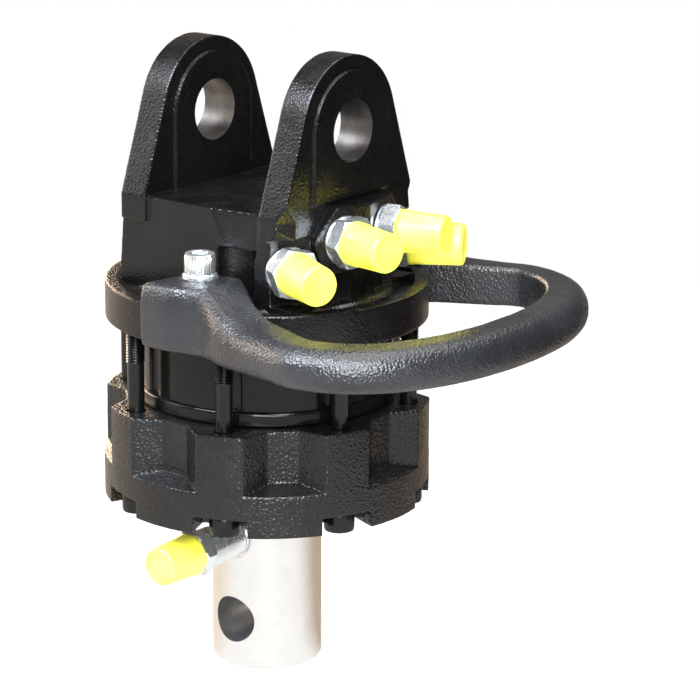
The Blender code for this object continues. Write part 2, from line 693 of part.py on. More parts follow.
def guard_stations():
    """Sections of the near half: inner and outer points, bottom, top and share of rounding."""
    block = block_half_y + EAR_PROUD / 2
    rim = disc_radius + LUG_WRAP
    flat = disc_top + BAR_ABOVE_DISC
    low = disc_bottom - BAR_BELOW_DISC
    skirt = disc_bottom - LUG_SKIRT
    reach_x = LOOP_REACH - LOOP_CENTRE

    def loop(angle, inset):
        cosine, sine = math.cos(angle), math.sin(angle)
        power = 2 / LOOP_SQUARENESS
        return (LOOP_CENTRE + (reach_x - inset) * abs(cosine) ** power,
                -(LOOP_HALF_WIDTH - inset) * abs(sine) ** power)

    def wrap(x):
        return (x, -math.sqrt(rim ** 2 - x ** 2))

    arm_outer, arm_inner = loop(math.pi / 2, 0), loop(math.pi / 2, BAR_WIDTH)
    shoulder = LUG_SHOULDER
    stations = [((-LUG_END, -block), wrap(-LUG_END - LUG_END_SLANT), skirt, lug_top - LUG_PAD_RISE, LUG_ROUND),
                ((shoulder / 2, -block), wrap(shoulder / 3), skirt, lug_top, LUG_ROUND),
                ((shoulder, -block), wrap(shoulder), skirt, lug_top, LUG_ROUND)]
    start = wrap(shoulder)
    for share, lift in ((0.26, 0.40), (0.48, 0.03), (0.75, 0.0)):
        inner = (shoulder + (arm_inner[0] - shoulder) * share, -block + (arm_inner[1] + block) * share ** 0.78)
        outer = (start[0] + (arm_outer[0] - start[0]) * share, start[1] + (arm_outer[1] - start[1]) * share ** 0.7)
        rounding = LUG_ROUND + (1 - LUG_ROUND) * min(1, share * 1.5)
        stations.append((inner, outer, skirt + (low - skirt) * share, flat + (lug_top - flat) * lift, rounding))
    steps = 13
    for i in range(steps):
        angle = math.pi / 2 * (1 - i / steps) ** 1.1
        stations.append((loop(angle, BAR_WIDTH), loop(angle, 0), low, flat, 1.0))
    return stations, (loop(0, BAR_WIDTH), loop(0, 0), low, flat, 1.0)


def guard_section(station):
    """Section of the bar: flat top, upright inner face, rounded outer face."""
    inner, outer, low, top, rounding = station
    inner, outer = Vector((*inner, 0)), Vector((*outer, 0))
    across = outer - inner
    width = across.length
    across.normalize()
    over = (BAR_ROUND_WIDTH * rounding, BAR_ROUND_HEIGHT)
    under = (BAR_UNDER_WIDTH * rounding, BAR_UNDER_HEIGHT)
    turns = [math.pi / 2 * i / 4 for i in range(5)]
    points = [(0, top - BAR_EDGE), (0, low + BAR_EDGE), (BAR_EDGE, low)]
    points += [(width - under[0] * (1 - math.sin(a)), low + under[1] * (1 - math.cos(a))) for a in turns[::2]]
    points += [(width - over[0] * (1 - math.cos(a)), top - over[1] * (1 - math.sin(a))) for a in turns]
    points.append((BAR_EDGE, top))
    return [inner + across * offset + Vector((0, 0, z)) for offset, z in points]


def make_guard(finish):
    """Cast loop round the hose ports, with a lug over each side of the disc's rim."""
    near, apex = guard_stations()
    low = disc_bottom - LUG_SKIRT
    mirrored = [((x0, -y0), (x1, -y1), *rest) for (x0, y0), (x1, y1), *rest in reversed(near)]
    sections = [guard_section(s) for s in [*near, apex, *mirrored]]
    guard = solid("guard_loop", faceted(stack(sections)), finish)
    for side in (-1, 1):
        place = Matrix.Translation((GUARD_SCREW_X, side * guard_screw_y, 0))
        add(guard, placed(rod(LUG_PAD_RADIUS, disc_top + LUG_RISE / 2, pad_top, SMALL), place))
        cut(guard, placed(rod(SCREW_RADIUS + GAP, low, pad_top + EDGE_CHAMFER, 16), place))
    cut(guard, rod(disc_radius + GAP, low - EDGE_CHAMFER, disc_top + GAP, ROUND))
    return guard


def make_guard_screws(screw_finish, washer_finish):
    """Screw and washer on each guard lug."""
    for side, label in ((-1, "near"), (1, "far")):
        place = Matrix.Translation((GUARD_SCREW_X, side * guard_screw_y, 0))
        washer_low = pad_top + GAP
        washer_high = washer_low + WASHER_THICKNESS
        hole = SCREW_RADIUS + GAP
        ring = [(hole, washer_low), (WASHER_RADIUS, washer_low), (WASHER_RADIUS, washer_high), (hole, washer_high)]
        solid(f"guard_washer_{label}", revolve(ring), washer_finish, place)
        seat = washer_high + GAP
        make_socket_screw(f"guard_screw_{label}", seat, seat + HEAD_HEIGHT, disc_top - GUARD_THREAD,
                          (SCREW_RADIUS, None), screw_finish, place, 1)


def make_adaptor(name, finish, place, steps, flats, hex_length):
    """Hose adaptor: thread, turned steps up to the hexagon, then a stub, with a bore through it.

    Each step is (radius, end). Returns where the hexagon ends.
    """
    radius, height = PORT_THREAD_RADIUS, BONDED_SEAL_THICKNESS + 2 * GAP
    profile = [(0, -PORT_THREAD_DEPTH), (radius, -PORT_THREAD_DEPTH), (radius, height)]
    for radius, end in steps:
        profile += [(radius, height), (radius, end)]
        height = end
    hex_end = height + hex_length
    stub_end = hex_end + STUB_LENGTH
    inside = STUB_RADIUS
    profile += [(inside, height), (inside, stub_end - EDGE_CHAMFER), (inside - EDGE_CHAMFER, stub_end), (0, stub_end)]
    adaptor = solid(name, revolve(profile, SMALL), finish)
    add(adaptor, prism(hexagon(flats), height, hex_end))
    cut(adaptor, rod(ADAPTOR_BORE, -PORT_THREAD_DEPTH - EDGE_CHAMFER, stub_end + EDGE_CHAMFER, 16))
    adaptor.data.transform(place)
    return hex_end


def make_cap(name, finish, place, start, length, extra=0.0):
    """Tapered plastic cap pushed over an adaptor's stub."""
    inner = STUB_RADIUS + GAP
    end = start + length
    depth = end - CAP_END_WALL
    tip = CAP_END_RADIUS + extra
    profile = [(inner, start), (CAP_BASE_RADIUS + extra, start), (tip, end - CAP_EDGE),
               (tip - CAP_EDGE, end), (0, end), (0, depth), (inner, depth)]
    solid(name, revolve(profile, SMALL), finish, place)


def make_bonded_seal(name, finish, place, outer):
    """Sealing ring under an adaptor's hexagon or collar."""
    inner = PORT_THREAD_RADIUS + GAP
    low, high = GAP, GAP + BONDED_SEAL_THICKNESS
    solid(name, revolve([(inner, low), (outer, low), (outer, high), (inner, high)], SMALL), finish, place)


def make_port_fittings(zinc, seal, plastic):
    """Adaptor, seal and cap on each of the four hose ports."""
    for number, (origin, angle) in enumerate(ports(), 1):
        place = aim(origin, angle)
        hex_end = make_adaptor(f"port_adaptor_{number}", zinc, place, (), HEX_FLATS, HEX_LENGTH)
        make_bonded_seal(f"port_seal_{number}", seal, place, BONDED_SEAL_RADIUS)
        length, extra = (LARGE_CAP_LENGTH, LARGE_CAP_EXTRA) if number == 4 else (CAP_LENGTH, 0.0)
        make_cap(f"port_cap_{number}", plastic, place, hex_end + GAP, length, extra)


def make_shaft_fittings(zinc, seal, plastic):
    """Long adaptor, seal and cap on each side of the shaft; they turn with it."""
    for number, angle in enumerate((-math.pi / 2, math.pi / 2), 1):
        origin = Vector((math.cos(angle), math.sin(angle), 0)) * shaft_flat + Vector((0, 0, shaft_port_z))
        place = aim(origin, angle)
        collar_end = SHAFT_COLLAR_LENGTH + BONDED_SEAL_THICKNESS + 2 * GAP
        steps = ((SHAFT_COLLAR_RADIUS, collar_end), (SHAFT_SHOULDER_RADIUS, collar_end + SHAFT_SHOULDER_LENGTH))
        hex_end = make_adaptor(f"shaft_adaptor_{number}", zinc, place, steps, SHAFT_HEX_FLATS, SHAFT_HEX_LENGTH)
        make_bonded_seal(f"shaft_adaptor_seal_{number}", seal, place, SHAFT_COLLAR_RADIUS)
        make_cap(f"shaft_cap_{number}", plastic, place, hex_end + GAP, CAP_LENGTH)


def make_rotor(finish):
    """Shaft, vane drum and swivel spigot in one piece."""
    groove = SPIGOT_RADIUS - SPIGOT_GROOVE_DEPTH
    profile = [(0, 0), (SHAFT_RADIUS - SHAFT_CHAMFER, 0), (SHAFT_RADIUS, SHAFT_CHAMFER),
               (SHAFT_RADIUS, motor_low), (drum_radius, motor_low), (drum_radius, motor_high),
               (SPIGOT_RADIUS, motor_high)]
    for z in reversed(groove_zs):
        half = SPIGOT_GROOVE_WIDTH / 2
        profile += [(SPIGOT_RADIUS, z - half), (groove, z - half), (groove, z + half), (SPIGOT_RADIUS, z + half)]
    profile += [(SPIGOT_RADIUS, spigot_top), (0, spigot_top)]
    rotor = solid("rotor_shaft", revolve(profile, BORE), finish)
    slot_floor = drum_radius - VANE_SLOT_DEPTH
    half = VANE_SLOT_WIDTH / 2
    slots = [placed(box((slot_floor, -half, motor_low - EDGE_CHAMFER),
                        (drum_radius + VANE_SLOT_WIDTH, half, motor_high + EDGE_CHAMFER)),
                    spin(math.tau * i / VANE_COUNT)) for i in range(VANE_COUNT)]
    cut(rotor, merged(slots))
    cross = placed(rod(CROSS_BORE_RADIUS, -drum_radius, drum_radius, 32),
                   aim((0, 0, CROSS_BORE_HEIGHT), math.pi / 2))
    cut(rotor, cross)
    for side, groove_z in zip((-1, 1), groove_zs):
        face = placed(rod(SHAFT_SPOTFACE_RADIUS, shaft_flat, drum_radius, SMALL),
                      aim((0, 0, shaft_port_z), side * math.pi / 2))
        thread = placed(rod(PORT_THREAD_RADIUS + GAP, shaft_flat - PORT_THREAD_DEPTH - EDGE_CHAMFER, drum_radius),
                        aim((0, 0, shaft_port_z), side * math.pi / 2))
        riser = placed(rod(PASSAGE_RADIUS, shaft_port_z, spigot_top + EDGE_CHAMFER, 12),
                       Matrix.Translation((0, side * PASSAGE_OFFSET, 0)))
        feed = placed(rod(PASSAGE_RADIUS * 0.6, PASSAGE_OFFSET, drum_radius, 12),
                      aim((0, 0, groove_z), side * math.pi / 2))
        link = placed(rod(PASSAGE_RADIUS, PASSAGE_OFFSET, shaft_flat, 12),
                      aim((0, 0, shaft_port_z), side * math.pi / 2))
        cut(rotor, face, thread, link, riser, feed)
    return rotor


def make_vanes(steel, spring_steel):
    """Vanes pushed fully in, each over a bowed leaf spring."""
    floor = drum_radius - VANE_SLOT_DEPTH
    tip = cam_minor - GAP
    heel = tip - VANE_LENGTH
    half = VANE_SLOT_WIDTH / 2 - GAP
    middle = (motor_low + motor_high) / 2
    rise = heel - GAP - (floor + GAP) - SPRING_LEAF
    count = 8
    places = [i / count * 2 - 1 for i in range(count + 1)]
    bow = [(floor + GAP + rise * (1 - u * u), middle + u * SPRING_LENGTH / 2) for u in places]
    back = [(x + SPRING_LEAF, z) for x, z in reversed(bow)]
    for i in range(VANE_COUNT):
        turn = spin(math.tau * i / VANE_COUNT)
        nose = EDGE_CHAMFER * 0.8
        plan = [(heel, -half), (tip - nose, -half), (tip, -half + nose), (tip, half - nose),
                (tip - nose, half), (heel, half)]
        solid(f"vane_{i + 1}", prism(plan, motor_low + GAP, motor_high - GAP), steel, turn)
        leaf = stack([[(x, y, z) for x, z in bow + back] for y in (-half + GAP, half - GAP)])
        solid(f"vane_spring_{i + 1}", leaf, spring_steel, turn)


def make_ring(name, inner, outer, low, high, finish):
    """Plain ring round the turning axis."""
    solid(name, revolve([(inner, low), (outer, low), (outer, high), (inner, high)], BORE), finish)


def make_bearings_and_seals(bronze, rubber, slide):
    """Bushes, thrust ring, shaft seals and swivel seals."""
    bore = SHAFT_RADIUS + GAP
    wiper_top = cap_bottom + GAP + WIPER_HEIGHT
    seal_low = wiper_top + GAP
    make_ring("wiper_ring", bore, SHAFT_RADIUS + SEAL_WALL + GAP, cap_bottom + GAP, wiper_top, rubber)
    make_ring("shaft_seal", bore, SHAFT_RADIUS + SEAL_WALL + GAP, seal_low, seal_low + SEAL_HEIGHT, rubber)
    make_ring("lower_bush", bore, SHAFT_RADIUS + BEARING_WALL + GAP, bush_bottom, bush_top, bronze)
    make_ring("thrust_ring", bore, drum_radius - GAP, thrust_seat + GAP, cap_top, bronze)
    make_ring("upper_bush", SPIGOT_RADIUS + GAP, SPIGOT_RADIUS + UPPER_BUSH_WALL + GAP,
              disc_bottom, upper_bush_top, bronze)
    for number, z in enumerate(swivel_seal_zs, 1):
        half = SWIVEL_SEAL_HEIGHT / 2
        make_ring(f"swivel_seal_{number}", SPIGOT_RADIUS + GAP, SPIGOT_RADIUS + SWIVEL_SEAL_WALL + GAP,
                  z - half, z + half, slide)


def make_plugs(finish):
    """Plugs that close the two risers at the spigot's end."""
    for number, side in enumerate((-1, 1), 1):
        plug = rod(PASSAGE_RADIUS - GAP, spigot_top - PLUG_LENGTH, spigot_top, 12)
        solid(f"passage_plug_{number}", plug, finish, Matrix.Translation((0, side * PASSAGE_OFFSET, 0)))


def build():
    for old in list(bpy.data.objects):
        bpy.data.objects.remove(old)
    cast = material("black_painted_casting", (0.018, 0.018, 0.02), 0.0, 0.35)
    ground = material("ground_shaft_steel", (0.78, 0.76, 0.73), 1.0, 0.28)
    zinc = material("zinc_plated_steel", (0.75, 0.78, 0.80), 1.0, 0.3)
    dark = material("blackened_screw_steel", (0.05, 0.05, 0.05), 0.8, 0.4)
    steel = material("hardened_steel", (0.5, 0.5, 0.52), 1.0, 0.3)
    bronze = material("bearing_bronze", (0.55, 0.35, 0.16), 1.0, 0.35)
    rubber = material("seal_rubber", (0.02, 0.02, 0.02), 0.0, 0.6)
    slide = material("slide_seal_plastic", (0.25, 0.2, 0.12), 0.0, 0.5)
    plastic = material("yellow_cap_plastic", (0.9, 0.78, 0.08), 0.0, 0.35)

    make_bracket(cast)
    make_stator(cast)
    make_lower_cap(cast)
    make_clamp_screws(dark)
    make_guard(cast)
    make_guard_screws(zinc, zinc)
    make_rotor(ground)
    make_vanes(steel, steel)
    make_bearings_and_seals(bronze, rubber, slide)
    make_oring("upper_oring", disc_bottom + ORING_SECTION - GAP, rubber)
    make_oring("lower_oring", cap_top - ORING_SECTION + GAP, rubber)
    make_plugs(steel)
    make_port_fittings(zinc, rubber, plastic)
    make_shaft_fittings(zinc, rubber, plastic)
    for made in bpy.context.scene.objects:
        if made.type == 'MESH':
            shade(made)


build()
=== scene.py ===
"""Looks of a hydraulic grapple rotator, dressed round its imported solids. Metres, +Z up."""
from math import acos, atan2, cos, hypot, pi, radians, sin, sqrt, tan, tau

import bmesh
import bpy
from mathutils import Matrix, Vector, noise


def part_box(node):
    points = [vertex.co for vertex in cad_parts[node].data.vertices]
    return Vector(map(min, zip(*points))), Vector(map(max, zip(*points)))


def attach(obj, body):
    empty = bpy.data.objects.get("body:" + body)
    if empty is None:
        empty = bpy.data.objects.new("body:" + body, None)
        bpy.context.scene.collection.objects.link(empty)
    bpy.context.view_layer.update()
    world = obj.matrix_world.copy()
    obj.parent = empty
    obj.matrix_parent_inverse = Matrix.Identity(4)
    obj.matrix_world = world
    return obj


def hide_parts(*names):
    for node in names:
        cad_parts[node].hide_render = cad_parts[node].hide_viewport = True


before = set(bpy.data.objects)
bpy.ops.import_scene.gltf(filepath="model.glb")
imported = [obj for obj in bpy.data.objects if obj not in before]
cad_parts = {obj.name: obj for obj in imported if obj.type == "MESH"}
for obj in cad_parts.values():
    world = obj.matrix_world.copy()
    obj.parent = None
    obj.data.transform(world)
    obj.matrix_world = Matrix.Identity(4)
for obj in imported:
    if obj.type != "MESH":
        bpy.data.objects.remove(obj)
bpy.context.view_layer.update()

# Fit of the pieces
GAP = 0.0003
CHAMFER = 0.0010

# Rotor and motor
SHAFT_RADIUS = 0.0295
SHAFT_CHAMFER = 0.0020
CROSS_BORE_RADIUS = 0.01275
CROSS_BORE_HEIGHT = 0.0270
SPIGOT_RADIUS = 0.0245
SPIGOT_GROOVE_DEPTH = 0.0020
SPIGOT_GROOVE_WIDTH = 0.0050
PASSAGE_RADIUS = 0.0035
PASSAGE_OFFSET = 0.0110
VANE_COUNT = 6
VANE_SLOT_WIDTH = 0.0060
VANE_SLOT_DEPTH = 0.0138
CAM_LIFT = 0.0055
CAM_LOBES = 4
DRUM_CLEARANCE = 0.0006
DRUM_EDGE = 0.0004
STATOR_FOOT = 0.0020
STATOR_FOOT_HEIGHT = 0.0075
STATOR_EDGE = 0.0008
FLUTE_RADIUS = 0.0075
FLUTE_OFFSET = 0.0050

# Lower cap
FLANGE_HEIGHT = 0.0225
RECESS_DEPTH = 0.0117
RECESS_FLOOR = 0.0158
LEDGE_RISE = 0.0040
LOBE_HALF_ANGLE = radians(8.2)
HEAD_POCKET_WIDTH = 0.0290
RIM_LAND = 0.0015
UNDERCUT_DEPTH = 0.0060
BEARING_WALL = 0.0055
SEAL_WALL = 0.0068
WIPER_AND_SEAL = 0.0119
THRUST_RING_THICKNESS = 0.0027

# Bracket
DISC_THICKNESS = 0.0200
DISC_RIM = 0.0075
DISC_TROUGH = 0.0120
DISC_TROUGH_DEPTH = 0.0035
EAR_GAP = 0.0750
EAR_THICKNESS = 0.0165
EAR_RADIUS = 0.0386
EAR_BOSS = 0.0020
EAR_BOSS_RADIUS = 0.0310
EAR_BORE_RADIUS = 0.0162
EAR_PROUD = 0.0023
EAR_FOOT_DEPTH = 0.0130
BOSS_FOOT = 0.0040
BLOCK_HEIGHT = 0.0460
BLOCK_DEPTH = 0.1040
BLOCK_FLARE = 0.0035
BLOCK_ROOF = 0.0050
FRONT_STEP = 0.0040
FRONT_STEP_START = 0.0040
FRONT_STEP_SLANT = 0.0120
FRONT_POCKET_RADIUS = 0.0120
FRONT_POCKET_X = 0.0215
FRONT_POCKET_HEIGHT = 0.0265
THREAD_CUT = 0.0130
UPPER_BUSH_WALL = 0.0032
UPPER_BUSH_HEIGHT = 0.0147
SWIVEL_SEAL_WALL = 0.0024
SWIVEL_SEAL_HEIGHT = 0.0034
SWIVEL_SEAL_PITCH = 0.0120
ORING_SECTION = 0.0014
ORING_INSET = 0.0080

# Hose ports
LOW_PORT_ANGLE = radians(26.5)
LOW_PORT_FACE = 0.0620
LOW_PORT_OFFSET = 0.0168
LOW_PORT_RISE = 0.0180
LOW_SPOTFACE_RADIUS = 0.0148
LOW_FACET_HEIGHT = 0.0350
NEAR_CORNER = ((0.0310, 0.0430, 0.0441), (0.0440, 0.0487, 0.0450), (0.0670, 0.0544, 0.0462))
FAR_CORNER = ((0.0310, 0.0518, 0.0518), (0.0440, 0.0514, 0.0508), (0.0670, 0.0544, 0.0480))
CORNER_PAST = 0.0060
HIGH_PORT_ANGLE = radians(14.5)
HIGH_PORT_FACE = 0.0651
HIGH_PORT_RISE = 0.0313
HIGH_PORT_OFFSET = 0.0100
PORT_PAD_RADIUS = 0.0175
PORT_PAD_RISE = 0.0170
NEAR_PAD = (0.0040, 0.0175)
FAR_PAD = (0.0125, 0.0225)
PORT_THREAD_RADIUS = 0.0080
PORT_THREAD_DEPTH = 0.0120
DRILLING_RADIUS = 0.0038

# Adaptors, seals and caps
HEX_FLATS = 0.0243
HEX_LENGTH = 0.0087
BONDED_SEAL_RADIUS = 0.0128
BONDED_SEAL_THICKNESS = 0.0018
STUB_RADIUS = 0.0091
STUB_LENGTH = 0.0150
ADAPTOR_BORE = 0.0050
CAP_BASE_RADIUS = 0.0113
CAP_END_RADIUS = 0.0102
CAP_LENGTH = 0.0245
CAP_END_WALL = 0.0018
LARGE_CAP_EXTRA = 0.0009
LARGE_CAP_LENGTH = 0.0290
SHAFT_PORT_DROP = 0.0215
SHAFT_SPOTFACE_RADIUS = 0.0117
SHAFT_SPOTFACE_DEPTH = 0.0026
SHAFT_COLLAR_RADIUS = 0.0100
SHAFT_COLLAR_LENGTH = 0.0173
SHAFT_SHOULDER_RADIUS = 0.0109
SHAFT_SHOULDER_LENGTH = 0.0094
SHAFT_HEX_FLATS = 0.0220
SHAFT_HEX_LENGTH = 0.0080
HEX_CHAMFER_START = 1.05
HEX_CHAMFER_SLOPE = tan(radians(30))
PORT_HEX_TURNS = (0.33, 0.56, 0.1, 0.52)
SHAFT_HEX_TURN = 0.593
FITTING_EDGE = 0.0006
SEAL_EDGE = 0.0003
CAP_BEND = 0.0016
CAP_DISH = 0.0002
CAP_LIP = (0.0022, 0.0030)

# Screws
SCREW_COUNT = 8
SCREW_RADIUS = 0.0050
SHANK_RADIUS = 0.0044
HEAD_RADIUS = 0.0080
HEAD_HEIGHT = 0.0098
SOCKET_FLATS = 0.0080
SOCKET_DEPTH = 0.0050
SOCKET_EDGE = 0.0004
SOCKET_POINT = (0.0012, 0.0006)
HEAD_RIDGES = 24
CLAMP_RIDGE_DEPTH = 0.00022
GUARD_RIDGE_DEPTH = 0.0003
GUARD_SCREW_TURN = 0.2
THREAD_SHOWN = 0.0170
THREAD_PITCH = 0.0015
THREAD_DEPTH = 0.0009
WASHER_RADIUS = 0.0090
WASHER_EDGE = 0.0005

# Guard loop
LOOP_REACH = 0.1690
LOOP_HALF_WIDTH = 0.1115
LOOP_CENTRE = 0.0975
LOOP_SQUARENESS = 2.15
BAR_WIDTH = 0.0226
BAR_LOW_LIFT = 0.0003
BAR_ABOVE_DISC = 0.0014
BAR_ROUND = (0.0115, 0.0110)
BAR_UNDER = (0.0070, 0.0080)
BAR_EDGE = 0.0015
LOOP_KNOTS = 13
KNOT_STEPS = 6
KNOT_CROWDING = 1.1
ARM_BENDS = (0.78, 0.7)
LUG_ROUND = 0.45
LUG_ROUND_GAIN = 1.5
LUG_WRAP = 0.0065
LUG_SKIRT = 0.0015
LUG_RISE = 0.0130
LUG_PAD_RISE = 0.0008
LUG_PAD_RADIUS = 0.0095
LUG_END = 0.0010
LUG_END_SLANT = 0.0080
LUG_SHOULDER = 0.0260
ARM_STATIONS = ((0.26, 0.40), (0.48, 0.03), (0.75, 0.0))
GUARD_SCREW_X = 0.0100
GUARD_SCREW_INSET = 0.0146

# Levels read from the frame
shaft_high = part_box("rotor_shaft")[1]
cap_low, cap_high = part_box("lower_cap")
bracket_low, bracket_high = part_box("upper_bracket")
cap_bottom = cap_low.z
cap_top = cap_high.z
ledge_z = cap_bottom + FLANGE_HEIGHT
body_radius = cap_high.y
disc_bottom = bracket_low.z
disc_top = disc_bottom + DISC_THICKNESS
disc_radius = bracket_high.y
block_top = disc_top + BLOCK_HEIGHT
pin_z = bracket_high.z - EAR_RADIUS
motor_low = cap_top + GAP
motor_high = disc_bottom - GAP
spigot_top = shaft_high.z
bore_top = block_top - BLOCK_ROOF
drum_radius = shaft_high.y
cam_minor = drum_radius + DRUM_CLEARANCE
stator_foot_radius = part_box("stator_ring")[1].y
stator_radius = stator_foot_radius - STATOR_FOOT
screw_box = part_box("clamp_screw_1")
screw_middle = (screw_box[0] + screw_box[1]) / 2
screw_circle = hypot(screw_middle.x, screw_middle.y)
screw_angles = [tau * (i + 0.5) / SCREW_COUNT for i in range(SCREW_COUNT)]
head_seat = cap_bottom + HEAD_HEIGHT - CHAMFER + GAP
block_half_x = EAR_GAP / 2 + EAR_THICKNESS
block_half_y = BLOCK_DEPTH / 2
low_port_z = disc_top + LOW_PORT_RISE
high_port_z = disc_top + HIGH_PORT_RISE
swivel_seal_zs = [high_port_z + SWIVEL_SEAL_PITCH * (0.5 - i) for i in range(3)]
groove_zs = (high_port_z, high_port_z - SWIVEL_SEAL_PITCH)
oring_radius = stator_radius - ORING_INSET
shaft_port_z = cap_bottom - SHAFT_PORT_DROP
shaft_flat = SHAFT_RADIUS - SHAFT_SPOTFACE_DEPTH
lug_top = disc_top + LUG_RISE
pad_top = lug_top + LUG_PAD_RISE
guard_screw_y = block_half_y + GUARD_SCREW_INSET

# Mesh quality
ROUND = 192
BORE = 96
SMALL = 48
DRILLED = 24
STATOR_STEPS = 480
WELD = 2e-6
CORNERS = ((-1, -1), (1, -1), (1, 1), (-1, 1))
OCTREE_DEPTH = 8
OCTREE_SCALE = 0.98
GUARD_VOXEL = 0.00085
BRACKET_TRIANGLES = 175000
CAP_TRIANGLES = 180000

# Uneven casting surfaces, as (feature size, height)
CAP_SWELL = (0.012, 0.00014)
GUARD_SWELLS = ((0.016, 0.00012), (0.0026, 0.00008))


# Materials

def fill(tree, node, **values):
    """Set a node's inputs by name; the output of another node is linked instead."""
    for key, value in values.items():
        socket = node.inputs[key.replace("_", " ").title().replace("Ior", "IOR")]
        if isinstance(value, bpy.types.NodeSocket):
            tree.links.new(value, socket)
        else:
            socket.default_value = value
    return node


def new_node(tree, kind, **values):
    return fill(tree, tree.nodes.new("ShaderNode" + kind), **values)


def texture_space(tree, scale=(1, 1, 1)):
    """Object coordinates in metres, stretched by scale."""
    where = new_node(tree, "TexCoord").outputs["Object"]
    return new_node(tree, "Mapping", vector=where, scale=scale).outputs["Vector"]


def noise_value(tree, vector, size, detail=3.0, roughness=0.55):
    """Noise whose features are about size metres across."""
    texture = new_node(tree, "TexNoise", vector=vector, scale=1 / size, detail=detail, roughness=roughness)
    return texture.outputs["Fac"]


def cell_value(tree, vector, size):
    """Soft round cells about size metres across."""
    texture = new_node(tree, "TexVoronoi")
    texture.feature = 'SMOOTH_F1'
    return fill(tree, texture, vector=vector, scale=1 / size, smoothness=0.4).outputs["Distance"]


def spread(tree, value, low, high, to_low, to_high):
    """Map a value from one range to another."""
    node = new_node(tree, "MapRange", value=value, from_min=low, from_max=high, to_min=to_low, to_max=to_high)
    return node.outputs["Result"]


def tinted(tree, value, dark, light):
    """Colour between dark and light by value."""
    ramp = new_node(tree, "ValToRGB", fac=value)
    for stop, place, colour in zip(ramp.color_ramp.elements, (0.3, 0.7), (dark, light)):
        stop.position = place
        stop.color = (*colour, 1)
    return ramp.outputs["Color"]


def bumped(tree, shader, layers):
    """Chain bumps, coarse first; each layer is (value, height in metres)."""
    normal = None
    for value, height in layers:
        bump = new_node(tree, "Bump", strength=1.0, distance=height, height=value)
        if normal is not None:
            fill(tree, bump, normal=normal)
        normal = bump.outputs["Normal"]
    fill(tree, shader, normal=normal)


def new_material(name, metallic=0.0, **values):
    """Principled material with constant inputs set; returns material, tree and shader."""
    made = bpy.data.materials.new(name)
    made.use_nodes = True
    tree = made.node_tree
    return made, tree, fill(tree, tree.nodes["Principled BSDF"], metallic=metallic, **values)


def cast_paint(name, tone, grain, size, lumps, rough, gloss=0.42):
    """Thick black gloss paint over a casting; grain, its size and lumps are in metres."""
    made, tree, shader = new_material(name, specular_ior_level=gloss)
    space = texture_space(tree)
    wide = noise_value(tree, space, size=0.045, detail=4.0)
    patch = noise_value(tree, space, size=0.012, detail=5.0, roughness=0.6)
    fill(tree, shader, base_color=tinted(tree, wide, [share * 0.5 for share in tone], tone),
         roughness=spread(tree, patch, 0.35, 0.65, rough - 0.05, rough + 0.09))
    bumped(tree, shader, [(noise_value(tree, space, 0.0055, 2.0), lumps),
                          (cell_value(tree, space, size), grain),
                          (noise_value(tree, space, size / 2, 2.0), grain / 4)])
    return made


def turned_metal(name, dark, light, rough, scratch, line_height):
    """Bare metal with fine tool lines; scratch stretches the noise along the cut."""
    made, tree, shader = new_material(name, 1.0)
    lines = noise_value(tree, texture_space(tree, scratch), size=1.0, detail=4.0, roughness=0.65)
    stain = noise_value(tree, texture_space(tree), size=0.014, detail=4.0, roughness=0.6)
    fill(tree, shader, base_color=tinted(tree, stain, dark, light),
         roughness=spread(tree, lines, 0.3, 0.7, rough - 0.05, rough + 0.06))
    bumped(tree, shader, [(lines, line_height)])
    return made


def plated_metal(name, dark, light, rough):
    """Zinc-plated steel, slightly mottled."""
    made, tree, shader = new_material(name, 0.92)
    space = texture_space(tree)
    mottle = noise_value(tree, space, size=0.0035, detail=4.0, roughness=0.6)
    fill(tree, shader, base_color=tinted(tree, mottle, dark, light),
         roughness=spread(tree, mottle, 0.3, 0.7, rough - 0.03, rough + 0.05))
    bumped(tree, shader, [(noise_value(tree, space, 0.0012, 2.0), 0.000004)])
    return made


def moulded(name, dark, light, rough, grain, **values):
    """Plastic or rubber with a faint grain."""
    made, tree, shader = new_material(name, **values)
    space = texture_space(tree)
    wide = noise_value(tree, space, size=0.011)
    fill(tree, shader, base_color=tinted(tree, wide, dark, light),
         roughness=spread(tree, wide, 0.3, 0.7, rough - 0.05, rough + 0.08))
    bumped(tree, shader, [(noise_value(tree, space, 0.0014, 2.0), grain)])
    return made


BLACK = (0.0040, 0.0037, 0.0035)
PAINT = cast_paint("bracket_paint", BLACK, grain=0.00017, size=0.0012, lumps=0.00003, rough=0.23)
CAP_PAINT = cast_paint("lower_cap_paint", (0.0065, 0.0061, 0.0058), grain=0.00034, size=0.0015,
                       lumps=0.00014, rough=0.24, gloss=0.50)
GUARD_PAINT = cast_paint("guard_paint", (0.0175, 0.0182, 0.0198), grain=0.00032, size=0.0013,
                         lumps=0.00008, rough=0.27, gloss=0.60)
SMOOTH_PAINT = cast_paint("motor_paint", BLACK, grain=0.00002, size=0.0019, lumps=0.00006, rough=0.14,
                          gloss=0.30)
SCREW_PAINT = cast_paint("screw_paint", BLACK, grain=0.00001, size=0.0019, lumps=0.00003, rough=0.20)
BORE_STEEL = turned_metal("machined_bore", (0.10, 0.094, 0.090), (0.22, 0.21, 0.20), 0.36,
                          (2600, 70, 70), 0.000012)
CROSS_BORE_STEEL = turned_metal("cross_bore", (0.40, 0.42, 0.46), (0.66, 0.69, 0.74), 0.34,
                                (70, 2600, 70), 0.000010)
SHAFT_STEEL = turned_metal("ground_shaft", (0.93, 0.92, 0.90), (1.0, 0.99, 0.97), 0.26,
                           (60, 60, 4200), 0.0000015)
ZINC = plated_metal("zinc_plate", (0.80, 0.85, 0.87), (0.88, 0.92, 0.94), 0.24)
